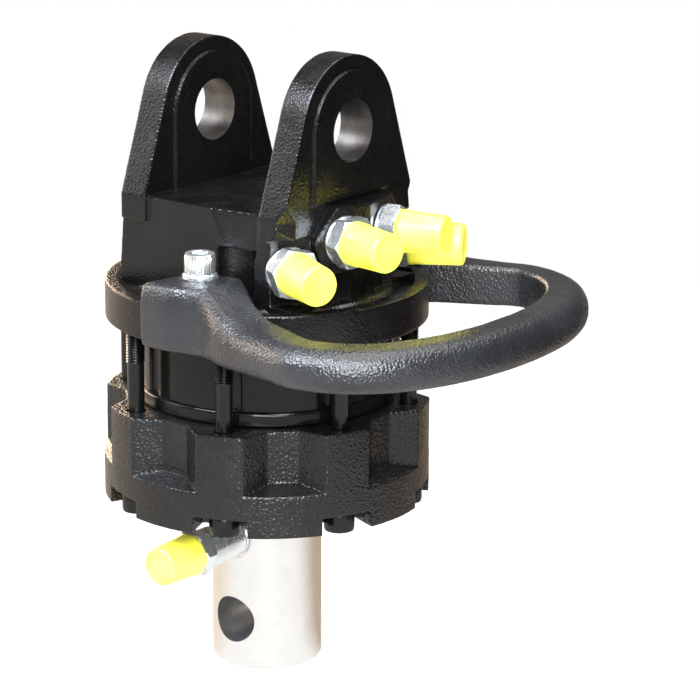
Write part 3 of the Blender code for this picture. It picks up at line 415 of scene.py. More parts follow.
TOOL_STEEL = turned_metal("hardened_steel_finish", (0.36, 0.36, 0.38), (0.5, 0.5, 0.52), 0.3,
                          (400, 400, 1600), 0.000006)
BRONZE = turned_metal("bearing_bronze_finish", (0.42, 0.26, 0.11), (0.58, 0.38, 0.18), 0.32,
                      (90, 90, 2500), 0.000006)
RUBBER = moulded("seal_rubber_finish", (0.010, 0.010, 0.010), (0.022, 0.022, 0.022), 0.55, 0.00002)
SLIDE = moulded("slide_seal_finish", (0.16, 0.13, 0.08), (0.24, 0.20, 0.13), 0.48, 0.00001)
YELLOW = moulded("yellow_plastic", (0.99, 0.84, 0.05), (1.0, 0.90, 0.11), 0.36, 0.00002,
                 subsurface_weight=0.4, subsurface_scale=0.006, subsurface_radius=(1.0, 0.9, 0.25),
                 specular_ior_level=0.8)


# Mesh tools

def in_scene(name, data):
    made = bpy.data.objects.new(name, data)
    bpy.context.scene.collection.objects.link(made)
    return made


def solid(name, bm, finish, matrix=None):
    """Object of a bmesh, with its mesh placed by matrix."""
    if matrix is not None:
        bm.transform(matrix)
    mesh = bpy.data.meshes.new(name)
    bm.to_mesh(mesh)
    bm.free()
    mesh.materials.append(finish)
    return in_scene(name, mesh)


def skin(bm, rings, closed):
    """Quads between rings of equal count; closed joins the last ring to the first."""
    following = rings[1:] + rings[:1] if closed else rings[1:]
    for low, high in zip(rings, following):
        for i in range(len(low)):
            j = (i + 1) % len(low)
            bm.faces.new((low[i], low[j], high[j], high[i]))
    if not closed:
        bm.faces.new(rings[0])
        bm.faces.new(rings[-1])
    bmesh.ops.recalc_face_normals(bm, faces=bm.faces)
    return bm


def turned(levels, steps=SMALL, closed=False):
    """Rings round Z; each level is (radius, height), the radius a number or a function of the angle."""
    bm = bmesh.new()
    turns = [tau * i / steps for i in range(steps)]
    rings = []
    for radius, height in levels:
        radii = [radius(a) if callable(radius) else radius for a in turns]
        rings.append([bm.verts.new((r * cos(a), r * sin(a), height)) for r, a in zip(radii, turns)])
    return skin(bm, rings, closed)


def stack(outlines):
    """Outlines of equal point count joined into a closed solid."""
    bm = bmesh.new()
    return skin(bm, [[bm.verts.new(point) for point in outline] for outline in outlines], False)


def prism(outline, low, high):
    return stack([[(x, y, z) for x, y in outline] for z in (low, high)])


def box(low, high):
    (x0, y0, z0), (x1, y1, z1) = low, high
    return prism([(x0, y0), (x1, y0), (x1, y1), (x0, y1)], z0, z1)


def rod(radius, low, high, steps=SMALL):
    return turned([(radius, low), (radius, high)], steps)


def combine(target, operation, *shapes, finish=None):
    """Boolean bmeshes into the target; new faces take the finish."""
    for bm in shapes:
        tool = solid("tool", bm, finish or target.data.materials[0])
        modifier = target.modifiers.new("shape", 'BOOLEAN')
        modifier.operation = operation
        modifier.solver = 'EXACT'
        modifier.material_mode = 'TRANSFER'
        modifier.object = tool
        applied(target)
        tool_mesh = tool.data
        bpy.data.objects.remove(tool)
        bpy.data.meshes.remove(tool_mesh)


def add(target, *shapes):
    combine(target, 'UNION', *shapes)


def cut(target, *shapes, finish=None):
    combine(target, 'DIFFERENCE', *shapes, finish=finish)


def applied(target):
    """Turn the modifiers' result into the mesh, welded."""
    graph = bpy.context.evaluated_depsgraph_get()
    mesh = bpy.data.meshes.new_from_object(target.evaluated_get(graph))
    bm = bmesh.new()
    bm.from_mesh(mesh)
    bmesh.ops.remove_doubles(bm, verts=bm.verts, dist=WELD)
    bm.to_mesh(mesh)
    bm.free()
    old = target.data
    target.modifiers.clear()
    target.data = mesh
    bpy.data.meshes.remove(old)
    mesh.name = target.name


def merged(shapes):
    """One bmesh of several that stay clear of each other."""
    whole = bmesh.new()
    for bm in shapes:
        part = bpy.data.meshes.new("part")
        bm.to_mesh(part)
        bm.free()
        whole.from_mesh(part)
        bpy.data.meshes.remove(part)
    return whole


def placed(bm, matrix):
    bm.transform(matrix)
    return bm


def ring(inner, outer, low, high, edge, top_edge):
    """Flat ring with its outer edges taken off."""
    return turned([(inner, low), (outer - edge, low), (outer, low + edge), (outer, high - top_edge),
                   (outer - top_edge, high), (inner, high)], BORE, closed=True)


def groove(wall, floor, z, half):
    """Levels of a groove in a turned wall."""
    return [(wall, z - half), (floor, z - half), (floor, z + half), (wall, z + half)]


def rods(radius, low, high, places, steps=SMALL):
    """A rod in each place."""
    return [placed(rod(radius, low, high, steps), place) for place in places]


def faceted(bm):
    bmesh.ops.triangulate(bm, faces=bm.faces)
    return bm


def spin(angle):
    return Matrix.Rotation(angle, 4, 'Z')


def shift(x, y, z=0.0):
    return Matrix.Translation((x, y, z))


def heading(angle):
    """Level direction at an angle round the turning axis, and the one to its left."""
    return Vector((cos(angle), sin(angle), 0)), Vector((-sin(angle), cos(angle), 0))


def aim(origin, angle):
    """Frame whose Z points outwards at an angle round the turning axis."""
    return Matrix.Translation(origin) @ spin(angle) @ Matrix.Rotation(pi / 2, 4, 'Y')


def rounded(target, softness, voxel=None):
    """Even the mesh out and soften every edge, as a casting and its paint do.

    Without a voxel size an octree evens it out, which keeps the edges straight before they are softened.
    """
    remesh = target.modifiers.new("even", 'REMESH')
    if voxel:
        remesh.mode = 'VOXEL'
        remesh.voxel_size = voxel
    else:
        remesh.mode = 'SHARP'
        remesh.octree_depth = OCTREE_DEPTH
        remesh.scale = OCTREE_SCALE
        remesh.use_remove_disconnected = False
    soften = target.modifiers.new("soften", 'SMOOTH')
    soften.factor = 0.5
    soften.iterations = softness
    applied(target)


def roughened(target, *scales):
    """Push points along their normals by noise; each scale is (feature size, height)."""
    mesh = target.data
    normals = [vertex.normal.copy() for vertex in mesh.vertices]
    for vertex, normal in zip(mesh.vertices, normals):
        lift = sum(noise.noise(vertex.co / size) * height for size, height in scales)
        vertex.co += normal * lift
    mesh.update()


def thinned(target, triangles):
    """Collapse to about this many triangles."""
    now = sum(len(face.vertices) - 2 for face in target.data.polygons)
    if now > triangles:
        shrink = target.modifiers.new("thin", 'DECIMATE')
        shrink.ratio = triangles / now
        applied(target)


def finish_piece(piece, body, nodes, sharp=35):
    """Shade the piece, tie it to its body and hide its CAD nodes."""
    piece.data.shade_smooth()
    piece.data.set_sharp_from_angle(angle=radians(sharp))
    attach(piece, body)
    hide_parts(*nodes)
    return piece


def dress(node, bm, finish, place, body, sharp=40):
    """Piece that stands for one CAD node of a set."""
    stem, label = node.rsplit("_", 1)
    finish_piece(solid(f"{stem}_dressed_{label}", bm, finish, place), body, [node], sharp)


# Places of the repeated pieces

def clamp_places():
    return [shift(screw_circle * cos(a), screw_circle * sin(a)) for a in screw_angles]


def guard_places():
    """Places of the near and the far guard screw."""
    return [shift(GUARD_SCREW_X, side * guard_screw_y) for side in (-1, 1)]


def ports():
    """Origin and angle of each hose port's seat, near low port first."""
    low = (LOW_PORT_ANGLE, LOW_PORT_FACE, LOW_PORT_OFFSET, low_port_z)
    high = (HIGH_PORT_ANGLE, HIGH_PORT_FACE, 0, high_port_z)
    seats = []
    for side, (angle, face, offset, z) in ((-1, low), (-1, high), (1, high), (1, low)):
        out, left = heading(side * angle)
        seats.append((out * face + left * (side * offset) + Vector((0, 0, z)), side * angle))
    return seats


# Castings

def ear_outline(radius, foot_half, foot_z, low, steps=72):
    """(y, z) outline of an ear: round head, sides that run straight to the foot."""
    drop = pin_z - foot_z
    reach = hypot(foot_half, drop)
    touch = 0.0
    if reach > radius * 1.001:
        touch = atan2(-drop, foot_half) + acos(radius / reach)
    arc = [touch + (pi - 2 * touch) * i / steps for i in range(steps + 1)]
    head = [(radius * cos(a), pin_z + radius * sin(a)) for a in arc]
    return [(foot_half, low), (foot_half, foot_z), *head, (-foot_half, foot_z), (-foot_half, low)]


def along_x(outline, low, high):
    return stack([[(x, y, z) for y, z in outline] for x in (low, high)])


def corner_cut(levels, side):
    """Wedge that takes off the block's outer corner, deeper towards the low port."""
    front = block_half_y + EAR_PROUD
    outlines = []
    for height, front_x, side_y in levels:
        start = Vector((front_x, side * front))
        end = Vector((max(front_x, block_half_x), side * side_y))
        run = (end - start).normalized() * CORNER_PAST
        outside = Vector((block_half_x + CORNER_PAST, side * (front + CORNER_PAST)))
        outlines.append([(*point, disc_top + height) for point in (start - run, end + run, outside)])
    return faceted(stack(outlines))


def port_pad(reaches, side):
    """Pad of a high port, in the port's own frame: flat top, 45 degree shoulder, round below."""
    top_reach, flank_reach = reaches
    web = HIGH_PORT_FACE * tan(HIGH_PORT_ANGLE)
    turns = [radians(-5) * i for i in range(31)]
    low = [(PORT_PAD_RADIUS * cos(a), PORT_PAD_RADIUS * sin(a)) for a in turns]
    outline = [(-web, PORT_PAD_RISE), (top_reach, PORT_PAD_RISE),
               (flank_reach, PORT_PAD_RISE - flank_reach + top_reach), *low, (-web, low[-1][1])]
    return prism([(-rise, side * reach) for reach, rise in outline], -HIGH_PORT_FACE / 3, 0)


def oring_groove(face_z, side):
    half = ORING_SECTION + GAP
    low, high = sorted((face_z - side * half, face_z + side * (2 * ORING_SECTION - GAP)))
    return turned([(oring_radius - half, low), (oring_radius + half, low),
                   (oring_radius + half, high), (oring_radius - half, high)], BORE, closed=True)


def bracket_casting():
    """Cast form of the bracket, before machining."""
    trough_out = disc_radius - DISC_RIM
    trough_in = trough_out - DISC_TROUGH
    floor = disc_top - DISC_TROUGH_DEPTH
    bracket = solid("bracket", turned([
        (disc_radius, disc_bottom), (disc_radius, disc_top), (trough_out, disc_top),
        (trough_out - DISC_TROUGH_DEPTH / 2, floor), (trough_in + DISC_TROUGH_DEPTH / 2, floor),
        (trough_in, disc_top - DISC_TROUGH_DEPTH / 2)], ROUND), PAINT)
    inside = disc_bottom + DISC_THICKNESS / 2
    base_half_x = block_half_x + BLOCK_FLARE
    levels = ((base_half_x, inside), (base_half_x, disc_top), (block_half_x, block_top))
    add(bracket, stack([[(x * half, y * block_half_y, z) for x, y in CORNERS] for half, z in levels]))
    plate = ear_outline(EAR_RADIUS, block_half_y + EAR_PROUD, block_top, block_top - EAR_FOOT_DEPTH)
    boss = ear_outline(EAR_BOSS_RADIUS, EAR_BOSS_RADIUS, pin_z, block_top + BOSS_FOOT)
    for side in (-1, 1):
        inner, outer = side * EAR_GAP / 2, side * block_half_x
        add(bracket, along_x(plate, *sorted((inner, outer))))
        faces = (inner - side * EAR_BOSS, outer + side * EAR_BOSS)
        add(bracket, along_x(boss, *sorted(faces)))
        inner_foot = [(EAR_BOSS_RADIUS, block_top - EAR_BOSS), (EAR_BOSS_RADIUS, pin_z),
                      (-EAR_BOSS_RADIUS, pin_z), (-EAR_BOSS_RADIUS, block_top - EAR_BOSS)]
        add(bracket, along_x(inner_foot, *sorted((faces[0], inner + side * EAR_BOSS))))
    seats = ports()
    for (origin, angle), side, levels in ((seats[0], -1, NEAR_CORNER), (seats[3], 1, FAR_CORNER)):
        facet = box((LOW_PORT_FACE, -block_half_x, disc_top + GAP),
                    (body_radius, block_half_x, disc_top + LOW_FACET_HEIGHT))
        cut(bracket, placed(facet, spin(angle)), corner_cut(levels, side))
    for (origin, angle), side, reaches in ((seats[1], -1, NEAR_PAD), (seats[2], 1, FAR_PAD)):
        add(bracket, placed(port_pad(reaches, side), aim(origin, angle)))
    front = HIGH_PORT_FACE * cos(HIGH_PORT_ANGLE)
    ridge = [(HIGH_PORT_FACE / 2, -HIGH_PORT_OFFSET), (front, -HIGH_PORT_OFFSET),
             (front, HIGH_PORT_OFFSET), (HIGH_PORT_FACE / 2, HIGH_PORT_OFFSET)]
    add(bracket, prism(ridge, inside, high_port_z + PORT_PAD_RADIUS / 2))
    add(bracket, *rods(HEAD_RADIUS * 1.5, inside, disc_top, guard_places()))
    pocket_top = disc_top + FRONT_POCKET_HEIGHT
    right = EAR_GAP / 2 - EAR_BOSS * 1.5
    for side in (-1, 1):
        ahead = side * (block_half_y + EAR_BOSS)
        back = side * (block_half_y - FRONT_STEP)
        shallow = side * (block_half_y - GAP)
        step = [[(FRONT_STEP_START + slant, ahead, z), (right, ahead, z), (right, back, z),
                 (FRONT_STEP_START + slant, shallow, z)]
                for slant, z in ((FRONT_STEP_SLANT, pocket_top - EAR_BOSS), (0, block_top + EAR_BOSS))]
        cut(bracket, faceted(stack(step)))
        pocket = rod(FRONT_POCKET_RADIUS, disc_top + GAP, pocket_top)
        cut(bracket, placed(pocket, shift(FRONT_POCKET_X, ahead)))
    return bracket


def machine_bracket(bracket):
    """Bores, port faces, threads and drillings, cut clean through the paint."""
    seats = ports()
    pin_bore = placed(rod(EAR_BORE_RADIUS, -disc_radius, disc_radius, BORE), aim((0, 0, pin_z), 0))
    cut(bracket, pin_bore, finish=BORE_STEEL)
    places = [aim(*seat) for seat in seats]
    cut(bracket, merged(rods(LOW_SPOTFACE_RADIUS, 0, body_radius, (places[0], places[3]), BORE)))
    threads = rods(PORT_THREAD_RADIUS + GAP, -PORT_THREAD_DEPTH - CHAMFER, body_radius / 2, places)
    cut(bracket, merged(threads), finish=BORE_STEEL)
    feeds = []
    for origin, angle in (seats[0], seats[3]):
        drop = origin - aim(origin, angle).to_3x3() @ Vector((0, 0, PORT_THREAD_DEPTH))
        upright = rod(DRILLING_RADIUS, disc_bottom - CHAMFER, low_port_z, DRILLED)
        feeds.append(placed(upright, shift(drop.x, drop.y)))
    for (origin, angle), groove_z in zip(seats[1:3], groove_zs):
        start = aim(origin, angle) @ Vector((0, 0, -PORT_THREAD_DEPTH + CHAMFER))
        end = Vector((cos(angle) * SPIGOT_RADIUS, sin(angle) * SPIGOT_RADIUS, groove_z))
        run = end - start
        turn = run.to_track_quat('Z', 'Y').to_matrix().to_4x4()
        feeds.append(placed(rod(DRILLING_RADIUS, 0, run.length, DRILLED), Matrix.Translation(start) @ turn))
    cut(bracket, merged(feeds), finish=BORE_STEEL)
    swivel_bore = SPIGOT_RADIUS + 2 * GAP
    bush_bore = swivel_bore + UPPER_BUSH_WALL
    bush_top = disc_bottom + UPPER_BUSH_HEIGHT + GAP
    profile = [(bush_bore, disc_bottom - CHAMFER), (bush_bore, bush_top), (swivel_bore, bush_top)]
    for z in reversed(swivel_seal_zs):
        profile += groove(swivel_bore, swivel_bore + SWIVEL_SEAL_WALL, z, SWIVEL_SEAL_HEIGHT / 2 + GAP)
    profile.append((swivel_bore, bore_top))
    hole, low, high = SCREW_RADIUS + GAP, disc_bottom - CHAMFER, disc_bottom + THREAD_CUT + GAP
    holes = rods(hole, low, high, clamp_places(), DRILLED)
    holes += rods(hole, disc_top - THREAD_CUT, disc_top + CHAMFER, guard_places(), DRILLED)
    cut(bracket, merged([turned(profile, BORE), oring_groove(disc_bottom, 1), *holes]), finish=BORE_STEEL)


def make_bracket():
    """Casting first, then the machined faces, which stay sharp and bare."""
    bracket = bracket_casting()
    rounded(bracket, softness=8)
    thinned(bracket, BRACKET_TRIANGLES)
    machine_bracket(bracket)
    finish_piece(bracket, "housing", ["upper_bracket"])


def make_lower_cap():
    """Scalloped end casting with its foot, pockets and screw holes."""
    pitch = tau / SCREW_COUNT
    floor_radius = hypot(body_radius - RECESS_DEPTH, RECESS_FLOOR / 2)
    floor_angle = atan2(RECESS_FLOOR / 2, body_radius - RECESS_DEPTH)
    plan = []
    for lobe in screw_angles:
        plan += [(body_radius, lobe + LOBE_HALF_ANGLE * (i / 4 - 1)) for i in range(9)]
        middle = lobe + pitch / 2
        plan += [(floor_radius, middle - floor_angle), (floor_radius, middle + floor_angle)]
    outline = [(r * cos(a), r * sin(a)) for r, a in plan]
    inset = body_radius - RECESS_DEPTH - CHAMFER
    cap = solid("lower_cap_casting", turned([(body_radius, cap_bottom), (body_radius, ledge_z),
                                             (inset, ledge_z + LEDGE_RISE)], ROUND), CAP_PAINT)
    add(cap, prism(outline, ledge_z - FLANGE_HEIGHT / 3, cap_top))
    below, above = cap_bottom - CHAMFER, cap_top + CHAMFER
    seal_bore = SHAFT_RADIUS + SEAL_WALL + 2 * GAP
    web_in = seal_bore + BEARING_WALL
    web_out = screw_circle - HEAD_RADIUS - BEARING_WALL
    cut(cap, turned([(web_in, below), (web_out, below), (web_out - CHAMFER, cap_bottom + UNDERCUT_DEPTH),
                     (web_in + CHAMFER, cap_bottom + UNDERCUT_DEPTH)], BORE, closed=True))
    half = HEAD_POCKET_WIDTH / 2
    pockets = [placed(box((screw_circle - HEAD_RADIUS - RIM_LAND, -half, below),
                          (body_radius + RIM_LAND, half, head_seat)), spin(a)) for a in screw_angles]
    cut(cap, merged(pockets))
    rounded(cap, softness=6)
    roughened(cap, CAP_SWELL)
    thinned(cap, CAP_TRIANGLES)
    bush_bore = SHAFT_RADIUS + BEARING_WALL + 2 * GAP
    seal_top = cap_bottom + WIPER_AND_SEAL + 3 * GAP
    thrust_seat = cap_top - THRUST_RING_THICKNESS - GAP
    bore = turned([(seal_bore, below), (seal_bore, seal_top), (bush_bore, seal_top),
                   (bush_bore, thrust_seat), (drum_radius, thrust_seat), (drum_radius, above)], BORE)
    holes = rods(SCREW_RADIUS + GAP, below, above, clamp_places(), DRILLED)
    cut(cap, merged([bore, oring_groove(cap_top, -1), *holes]), finish=BORE_STEEL)
    finish_piece(cap, "housing", ["lower_cap"])


def make_stator():
    """Cam ring with a rounded foot and a flute at each screw."""
    pitch = tau / SCREW_COUNT
    edge = STATOR_EDGE

    def outside(angle):
        away = (angle % pitch) - pitch / 2
        centre = stator_radius + FLUTE_OFFSET
        across = centre * sin(away)
        if abs(across) >= FLUTE_RADIUS:
            return stator_radius
        return min(stator_radius, centre * cos(away) - sqrt(FLUTE_RADIUS ** 2 - across ** 2))

    def cam(angle):
        return cam_minor + CAM_LIFT * (1 - cos(CAM_LOBES * angle)) / 2

    foot_top = motor_low + STATOR_FOOT_HEIGHT
    levels = [(stator_foot_radius - edge, motor_low), (stator_foot_radius, motor_low + edge),
              (stator_foot_radius, foot_top - 2 * edge),
              (stator_foot_radius - edge * 0.3, foot_top - edge * 0.8),
              (stator_foot_radius - edge, foot_top - edge * 0.2), (outside, foot_top + edge * 0.3),
              (outside, foot_top + 2 * edge), (outside, motor_high - edge),
              (lambda a: outside(a) - edge, motor_high), (cam, motor_high), (cam, motor_low)]
    stator = solid("stator", turned(levels, STATOR_STEPS, closed=True), SMOOTH_PAINT)
    finish_piece(stator, "housing", ["stator_ring"], 40)


# Guard loop

def loop_point(angle, inset):
    """Point of the loop's squared oval, or of one that lies inset from it."""
    power = 2 / LOOP_SQUARENESS
    reach_x = LOOP_REACH - LOOP_CENTRE
    return (LOOP_CENTRE + (reach_x - inset) * abs(cos(angle)) ** power,
            -(LOOP_HALF_WIDTH - inset) * abs(sin(angle)) ** power)


def guard_stations():
    """Sections of the near half, lug first: inner x y, outer x y, bottom, top, share of rounding."""
    block = block_half_y + EAR_PROUD / 2
    rim = disc_radius + LUG_WRAP
    flat = disc_top + BAR_ABOVE_DISC
    low = disc_bottom + BAR_LOW_LIFT
    skirt = disc_bottom - LUG_SKIRT

    def wrap(x):
        return (x, -sqrt(rim ** 2 - x ** 2))

    shoulder = LUG_SHOULDER
    end = wrap(-LUG_END - LUG_END_SLANT)
    stations = [(-LUG_END, -block, *end, skirt, lug_top - LUG_PAD_RISE, LUG_ROUND),
                (shoulder / 2, -block, *wrap(shoulder / 3), skirt, lug_top, LUG_ROUND),
                (shoulder, -block, *wrap(shoulder), skirt, lug_top, LUG_ROUND)]
    start = wrap(shoulder)
    arm_outer, arm_inner = loop_point(pi / 2, 0), loop_point(pi / 2, BAR_WIDTH)
    for share, lift in ARM_STATIONS:
        inner = (shoulder + (arm_inner[0] - shoulder) * share,
                 -block + (arm_inner[1] + block) * share ** ARM_BENDS[0])
        outer = (start[0] + (arm_outer[0] - start[0]) * share,
                 start[1] + (arm_outer[1] - start[1]) * share ** ARM_BENDS[1])
        rounding = LUG_ROUND + (1 - LUG_ROUND) * min(1, share * LUG_ROUND_GAIN)
        bottom, top = skirt + (low - skirt) * share, flat + (lug_top - flat) * lift
        stations.append((*inner, *outer, bottom, top, rounding))
    for i in range(LOOP_KNOTS):
        angle = pi / 2 * (1 - i / LOOP_KNOTS) ** KNOT_CROWDING
        stations.append((*loop_point(angle, BAR_WIDTH), *loop_point(angle, 0), low, flat, 1.0))
    stations.append((*loop_point(0, BAR_WIDTH), *loop_point(0, 0), low, flat, 1.0))
    return stations


def eased(before, start, end, after, share):
    """Catmull-Rom value between start and end."""
    slope_in, slope_out = (end - before) / 2, (after - start) / 2
    square, cube = share * share, share ** 3
    return ((2 * cube - 3 * square + 1) * start + (cube - 2 * square + share) * slope_in
            + (3 * square - 2 * cube) * end + (cube - square) * slope_out)


def guard_section(station):
    """Points of the bar's section: flat top, upright inner face, rounded outer face."""
    x0, y0, x1, y1, low, top, rounding = station
    inner, outer = Vector((x0, y0, 0)), Vector((x1, y1, 0))
    across = outer - inner
    width = across.length
    across.normalize()
    over = (BAR_ROUND[0] * rounding, BAR_ROUND[1])
    under = (BAR_UNDER[0] * rounding, BAR_UNDER[1])
    turns = [pi / 2 * i / 10 for i in range(11)]
    points = [(0, top - BAR_EDGE), (0, low + BAR_EDGE), (BAR_EDGE, low)]
    points += [(width - under[0] * (1 - sin(a)), low + under[1] * (1 - cos(a))) for a in turns]
    points += [(width - over[0] * (1 - cos(a)), top - over[1] * (1 - sin(a))) for a in turns]
    points.append((BAR_EDGE, top))
    return [inner + across * offset + Vector((0, 0, z)) for offset, z in points]


def make_guard():
    """Guard loop: half is laid out from lug to front, mirrored, and eased between its knots."""
    near = guard_stations()
    far = [(x0, -y0, x1, -y1, *rest) for x0, y0, x1, y1, *rest in reversed(near[:-1])]
    knots = near + far
    sections = [guard_section(knots[0])]
    for i in range(len(knots) - 1):
        around = [knots[max(0, i - 1)], knots[i], knots[i + 1], knots[min(len(knots) - 1, i + 2)]]
        straight = i < 2 or i > len(knots) - 4
        for step in range(1, KNOT_STEPS + 1):
            share = step / KNOT_STEPS
            if straight:
                station = [a + (b - a) * share for a, b in zip(around[1], around[2])]
            else:
                station = [eased(*four, share) for four in zip(*around)]
            sections.append(guard_section(station))
    guard = solid("guard", faceted(stack(sections)), GUARD_PAINT)
    add(guard, *rods(LUG_PAD_RADIUS, disc_top + LUG_RISE / 2, pad_top + GAP, guard_places()))
    skirt = disc_bottom - LUG_SKIRT - CHAMFER
    cut(guard, rod(disc_radius, skirt, disc_top - GAP, ROUND))
    rounded(guard, softness=4, voxel=GUARD_VOXEL)
    roughened(guard, *GUARD_SWELLS)
    cut(guard, rod(disc_radius + GAP, skirt, disc_top + GAP, ROUND))
    seats = rods(LUG_PAD_RADIUS + CHAMFER, pad_top, pad_top + CHAMFER, guard_places())
    cut(guard, merged(seats), finish=ZINC)
    holes = rods(SCREW_RADIUS + GAP, disc_bottom, pad_top + CHAMFER / 2, guard_places(), DRILLED)
    cut(guard, merged(holes), finish=BORE_STEEL)
    finish_piece(guard, "housing", ["guard_loop"])


# Screws

def hexagon_radius(flats):
    """Radius of a hexagon as a function of the angle, with corners on the X axis."""
    return lambda angle: flats / 2 / cos((angle % (pi / 3)) - pi / 6)


def thread_radius(major, z):
    """Radius of a helical thread at one height."""
    def at(angle):
        turn = (z / THREAD_PITCH - angle / tau) % 1.0
        ridge = min(1.0, 2.4 * min(turn, 1 - turn))
        return major - THREAD_DEPTH * ridge
    return at


def head_levels(seat, top, facing, ridge_depth):
    """Socket head from the socket's floor round to the seat; facing 1 looks up."""
    socket = hexagon_radius(SOCKET_FLATS)
    edge = CHAMFER
    floor = top - facing * SOCKET_DEPTH

    def side(angle):
        return HEAD_RADIUS - ridge_depth * (0.5 - 0.5 * cos(HEAD_RIDGES * angle))

    point_radius, point_depth = SOCKET_POINT
    return [(point_radius, floor - facing * point_depth), (socket, floor),
            (socket, top - facing * SOCKET_EDGE), (SOCKET_FLATS / 2 * 1.2, top), (HEAD_RADIUS - edge, top),
            (HEAD_RADIUS - edge * 0.35, top - facing * edge * 0.3),
            (HEAD_RADIUS - ridge_depth, top - facing * edge), (side, top - facing * edge * 1.5),
            (side, seat + facing * edge), (HEAD_RADIUS - edge * 0.4, seat)]


def make_clamp_screws():
    """Long blackened screws with their thread in view below the bracket."""
    thread_low = disc_bottom - THREAD_SHOWN
    count = round(THREAD_SHOWN / THREAD_PITCH * 6)
    root, tip = SCREW_RADIUS - THREAD_DEPTH / 2, disc_bottom + THREAD_CUT
    seat = head_seat - GAP
    levels = head_levels(seat, seat - HEAD_HEIGHT, -1, CLAMP_RIDGE_DEPTH)
    levels += [(SHANK_RADIUS, seat), (SHANK_RADIUS, thread_low - CHAMFER)]
    levels += [(thread_radius(SCREW_RADIUS, z), z)
               for z in (thread_low + THREAD_SHOWN * i / count for i in range(count + 1))]
    levels += [(root, disc_bottom + GAP), (root, tip - CHAMFER), (SCREW_RADIUS - CHAMFER, tip)]
    for number, place in enumerate(clamp_places(), 1):
        dress(f"clamp_screw_{number}", turned(levels), SCREW_PAINT, place @ spin(number),
              "housing", 50)


def make_guard_screws():
    """Washer and knurled socket head screw of each lug."""
    for place, label in zip(guard_places(), ("near", "far")):
        node = f"guard_washer_{label}"
        low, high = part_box(node)
        washer = ring(SCREW_RADIUS + GAP, WASHER_RADIUS, low.z, high.z, WASHER_EDGE, 2 * WASHER_EDGE)
        dress(node, washer, ZINC, place, "housing")
        seat, tip = high.z + GAP, disc_top - THREAD_CUT
        levels = head_levels(seat, seat + HEAD_HEIGHT, 1, GUARD_RIDGE_DEPTH)
        levels += [(SCREW_RADIUS - GAP, seat), (SCREW_RADIUS - GAP, tip + CHAMFER),
                   (SCREW_RADIUS - CHAMFER, tip + GAP)]
        dress(f"guard_screw_{label}", turned(levels, BORE), ZINC, place @ spin(GUARD_SCREW_TURN),
              "housing")


# Adaptors and caps

def hexagon_levels(low, high, flats):
    """Hexagon with both ends chamfered by a cone."""
    corner = flats / sqrt(3)
    inner = flats / 2 * HEX_CHAMFER_START
    shape = hexagon_radius(flats)
    steps = 6
    limits = [inner + (corner - inner) * i / steps for i in range(steps + 1)]
    rise = [(limit - inner) * HEX_CHAMFER_SLOPE for limit in limits]
    ends = [(lambda angle, most=limit: min(shape(angle), most), up) for limit, up in zip(limits, rise)]
    return [(at, low + up) for at, up in ends] + [(at, high - up) for at, up in reversed(ends)]


def make_adaptor(node, place, steps, flats, hex_length, body, turn):
    """Thread, turned steps (radius, end), chamfered hexagon, stub and bore; returns the hexagon's end."""
    edge = FITTING_EDGE
    radius, height = PORT_THREAD_RADIUS, BONDED_SEAL_THICKNESS + 2 * GAP
    levels = [(ADAPTOR_BORE, -PORT_THREAD_DEPTH), (radius - edge, -PORT_THREAD_DEPTH),
              (radius, edge - PORT_THREAD_DEPTH), (radius, height)]
    for radius, end in steps:
        levels += [(radius - edge, height), (radius, height + edge), (radius, end - edge)]
        height = end
    hex_end = height + hex_length
    stub_end = hex_end + STUB_LENGTH
    levels += hexagon_levels(height, hex_end, flats)
    levels += [(STUB_RADIUS, hex_end), (STUB_RADIUS, stub_end - edge), (STUB_RADIUS - edge, stub_end),
               (ADAPTOR_BORE, stub_end)]
    dress(node, turned(levels, BORE, closed=True), ZINC, place @ spin(turn), body, 25)
    return hex_end


def make_seal(node, place, outer, body):
    """Bonded seal, seen as its steel ring."""
    seal = ring(PORT_THREAD_RADIUS + GAP, outer, GAP, GAP + BONDED_SEAL_THICKNESS, SEAL_EDGE, SEAL_EDGE)
    dress(node, seal, ZINC, place, body)


def make_cap(node, place, start, length, body, extra=0.0):
    """Soft plastic cap: rolled mouth, slight taper, rounded end with a faintly dished face."""
    inner = STUB_RADIUS + GAP
    end = start + length
    base, tip = CAP_BASE_RADIUS + extra, CAP_END_RADIUS + extra
    bend, dish = CAP_BEND, CAP_DISH
    inside = [(inner / 2, end - CAP_END_WALL), (inner, end - CAP_END_WALL - 3 * dish), (inner, start)]
    side = [(base - 2 * dish, start), (base, start + 3 * dish), (base, start + CAP_LIP[0]),
            (base - 2 * dish, start + CAP_LIP[1])]
    turns = [pi / 2 * i / 8 for i in range(9)]
    arc = [(tip - bend + bend * cos(a), end - bend + bend * sin(a)) for a in turns]
    face = [(tip * 0.72, end), (tip * 0.68, end - dish), (tip / 3, end - dish)]
    dress(node, turned(inside + side + arc + face, BORE), YELLOW, place, body, 45)


def make_port_fittings():
    """Adaptor, seal and cap of each hose port; the last cap is a size larger."""
    for number, ((origin, angle), turn) in enumerate(zip(ports(), PORT_HEX_TURNS), 1):
        place = aim(origin, angle)
        hex_end = make_adaptor(f"port_adaptor_{number}", place, (), HEX_FLATS, HEX_LENGTH, "housing", turn)
        make_seal(f"port_seal_{number}", place, BONDED_SEAL_RADIUS, "housing")
        length, extra = (LARGE_CAP_LENGTH, LARGE_CAP_EXTRA) if number == 4 else (CAP_LENGTH, 0.0)
        make_cap(f"port_cap_{number}", place, hex_end + GAP, length, "housing", extra)


